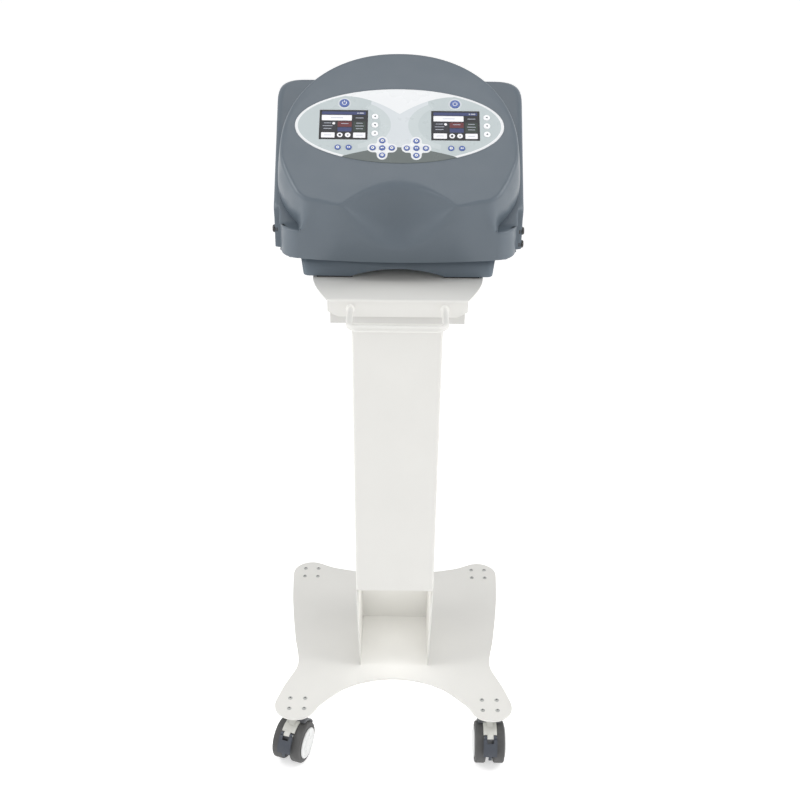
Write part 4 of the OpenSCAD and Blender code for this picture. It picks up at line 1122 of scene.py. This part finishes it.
class THERAPY_OT_base(PieceOperator, bpy.types.Operator):
    """Builds the base plate with its screws"""

    bl_idname = "therapy.base"
    bl_label = "Base Plate"

    def make(self, s):
        surface = slab(base_outline(), PLATE - 4, PLATE, 1.1, 5)
        piece("base_sheet", surface, ["paint"], "trolley", ["base_plate"], "powder_coat", soften=30)
        softened("caster_plates", "mounting_plates", ["zinc"], "trolley", 0.5)
        parts = []
        for cx, cy, _ in CORNERS.values():
            for i, j in ((-13.5, -13.5), (-13.5, 13.5), (13.5, -13.5), (13.5, 13.5)):
                spot = (cx + i, cy + j, PLATE)
                for profile, sides, number in ((SCREW, 32, 2), (SCREW_SOCKET_SHADE, 6, 1), (SCREW_NUT, 6, 0)):
                    parts.append(placed(revolved(profile, sides), spot, number=number))
        # the black finish paints the shade of each screw's hex socket
        finishes = ["zinc", "black plastic and painted shade", "screw"]
        piece("plate_screws", join(*parts), finishes, "trolley", ["caster_screws"], "zinc", soften=30)


class THERAPY_OT_casters(PieceOperator, bpy.types.Operator):
    """Builds the four twin-wheel casters and the front brakes"""

    bl_idname = "therapy.casters"
    bl_label = "Casters"

    def make(self, s):
        tyre, disc = revolved(TYRE, 120), revolved(DISC, 120)
        rib = slab(bar(16.4, 0, 8.4, 2.4, 1.0, 4), 21.3, 22.3, 0.35, 3)
        cap = join((*disc, 0), *(placed(rib, (0, 0, 0), 60 * k + 30) for k in range(6)))[:2]
        for key, (cx, cy, turn) in CORNERS.items():
            corner = np.array([cx, cy, 0.0])

            def twin(shape):
                """The shape on the outer side of each wheel of this caster."""
                points, faces = shape[0] + np.array([0, 0, 6.5]), shape[1]
                sides = [placed((points, faces), (0, -20, 37.5), 90 * k, 1) for k in (-1, 1)]
                return join(*(placed(q[:2], corner, turn) for q in sides))

            def neck(c, n):
                x, y, z = turned(c - corner, -turn)
                return 1 if z > 70 and key[0] == "f" and y < -3 and abs(x) < 12.5 else 0

            wheels, fork = f"wheels_{key}", f"caster_{key}"
            piece(f"treads_{key}", twin(tyre), ["tyre"], wheels, [f"caster_{key}_tyres"], "tyre", soften=40)
            piece(f"side_discs_{key}", twin(cap), ["disc"], wheels, [f"caster_{key}_discs"], "caster_white", soften=30)
            finishes = ["caster grey", "caster pale"]
            softened(f"caster_{key}_fork", f"fork_{key}", finishes, fork, 0.9, 3, pick=neck)
        for key in ("fl", "fr"):
            softened(f"brake_{key}", f"pedal_plate_{key}", ["pedal"], f"pedal_{key}", 0.7, 3)


class THERAPY_OT_inside(PieceOperator, bpy.types.Operator):
    """Finishes the parts inside the console"""

    bl_idname = "therapy.inside"
    bl_label = "Inside Parts"

    def make(self, s):
        kinds = {"main_board": "board green", "power_supply": "steel", "water_tank": "tank", "pump": "pump"}
        for node, kind in kinds.items():
            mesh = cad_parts[node].data
            mesh.materials.clear()
            mesh.materials.append(finish_of(kind))


class THERAPY_OT_stage(PieceOperator, bpy.types.Operator):
    """Builds the floor, the lights, the world and the camera"""

    bl_idname = "therapy.stage"
    bl_label = "Studio"

    def make(self, s):
        if not s.backdrop:
            return
        r = np.concatenate([np.linspace(0.02, 3, 30), np.linspace(3.2, 9, 12)])
        a = np.linspace(0, 2 * pi, 120, endpoint=False)[:, None]
        v, f = grid(at(r * np.cos(a), r * np.sin(a), 0.0), True)
        mesh = bpy.data.meshes.new("studio_floor")
        mesh.from_pydata((v + OFFSET).tolist(), [], f + [[k * len(r) for k in range(120)]])
        white = dict(rough=0.8, grain=40, bump=0.0, mottle=0.002, wear=0.02, glow=0.54)
        mesh.materials.append(material("studio white", rgb(248, 248, 248), **white))
        floor = bpy.data.objects.new("studio_floor", mesh)
        bpy.context.scene.collection.objects.link(floor)

        world = bpy.data.worlds.new("Studio")
        bpy.context.scene.world = world
        world.use_nodes = True
        t = world.node_tree
        t.nodes.clear()
        add = t.nodes.new
        path, one, two = add("ShaderNodeLightPath"), add("ShaderNodeMath"), add("ShaderNodeMath")
        soft, bright = add("ShaderNodeBackground"), add("ShaderNodeBackground")
        mix, out = add("ShaderNodeMixShader"), add("ShaderNodeOutputWorld")
        two.use_clamp = True
        for node, strength in ((soft, 0.5), (bright, 1.0)):
            node.inputs[0].default_value, node.inputs[1].default_value = (1, 1, 1, 1), strength
        for a, i, b, k in (
            (path, "Is Camera Ray", one, 0),
            (path, "Is Glossy Ray", one, 1),
            (one, 0, two, 0),
            (path, "Is Transmission Ray", two, 1),
            (two, 0, mix, 0),
            (soft, 0, mix, 1),
            (bright, 0, mix, 2),
            (mix, 0, out, 0),
        ):
            t.links.new(a.outputs[i], b.inputs[k])

        for name, spot, aim, size, power in (  # metres and watts
            ("key", (-1.3, -1.9, 1.6), (0, 0, 0.9), 0.6, 2.6),
            ("fill", (1.3, -1.9, 1.6), (0, 0, 0.9), 0.6, 2.2),
            ("top", (0.0, -0.2, 3.1), (0, 0, 0.8), 1.8, 12.0),
            ("left", (-1.5, -0.2, 1.75), (0, 0.05, 0.95), 0.7, 6.0),
            ("right", (1.5, -0.2, 1.75), (0, 0.05, 0.95), 0.7, 6.0),
            ("left base", (-1.1, -0.3, 1.1), (0, 0, 0.0), 0.6, 2.6),
            ("right base", (1.1, -0.3, 1.1), (0, 0, 0.0), 0.6, 2.6),
            ("foot", (0.0, -0.04, 0.252), (0, 0.0, 0.1), 0.1, 0.09),
        ):
            light = bpy.data.lights.new(name, "AREA")
            light.shape, light.size, light.energy = "DISK", size, power
            o = bpy.data.objects.new(name, light)
            bpy.context.scene.collection.objects.link(o)
            o.location = spot
            o.visible_camera = False
            o.rotation_euler = (Vector(aim) - Vector(spot)).to_track_quat("-Z", "Y").to_euler()

        camera = bpy.data.cameras.new("camera")
        camera.lens, camera.sensor_width, camera.shift_x = 54.9, 36.0, 0.0042
        o = bpy.data.objects.new("camera", camera)
        bpy.context.scene.collection.objects.link(o)
        o.location = (OFFSET + np.array([0, -1.897, 1.638])).tolist()
        pitch, roll = radians(90 - 28.07), radians(0.6)
        o.rotation_mode = "XYZ"
        o.rotation_euler = (Matrix.Rotation(pitch, 3, "X") @ Matrix.Rotation(roll, 3, "Z")).to_euler()
        bpy.context.scene.camera = o
        bpy.context.scene.view_settings.view_transform = "Standard"


STEPS = (
    THERAPY_OT_front_shell,
    THERAPY_OT_rear_shell,
    THERAPY_OT_pan,
    THERAPY_OT_panel,
    THERAPY_OT_screens,
    THERAPY_OT_keys,
    THERAPY_OT_sockets,
    THERAPY_OT_column,
    THERAPY_OT_tray,
    THERAPY_OT_base,
    THERAPY_OT_casters,
    THERAPY_OT_inside,
    THERAPY_OT_stage,
)


class THERAPY_PT_panel(bpy.types.Panel):
    """Lists the settings and the steps in the sidebar"""

    bl_label = "Therapy Machine"
    bl_idname = "THERAPY_PT_panel"
    bl_space_type = "VIEW_3D"
    bl_region_type = "UI"
    bl_category = "Therapy Machine"

    def draw(self, context):
        s = context.scene.therapy_machine
        box = self.layout.box()
        for name in TherapyMachineSettings.__annotations__:
            box.prop(s, name)
        column = self.layout.column(align=True)
        for step in STEPS:
            column.operator(step.bl_idname)


CLASSES = (TherapyMachineSettings, *STEPS, THERAPY_PT_panel)


def register():
    for c in CLASSES:
        bpy.utils.register_class(c)
    bpy.types.Scene.therapy_machine = PointerProperty(type=TherapyMachineSettings)


def unregister():
    del bpy.types.Scene.therapy_machine
    for c in reversed(CLASSES):
        bpy.utils.unregister_class(c)


def main():
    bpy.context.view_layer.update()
    register()
    for step in STEPS:
        group, name = step.bl_idname.split(".")
        getattr(getattr(bpy.ops, group), name)()


if __name__ == "__main__":
    main()
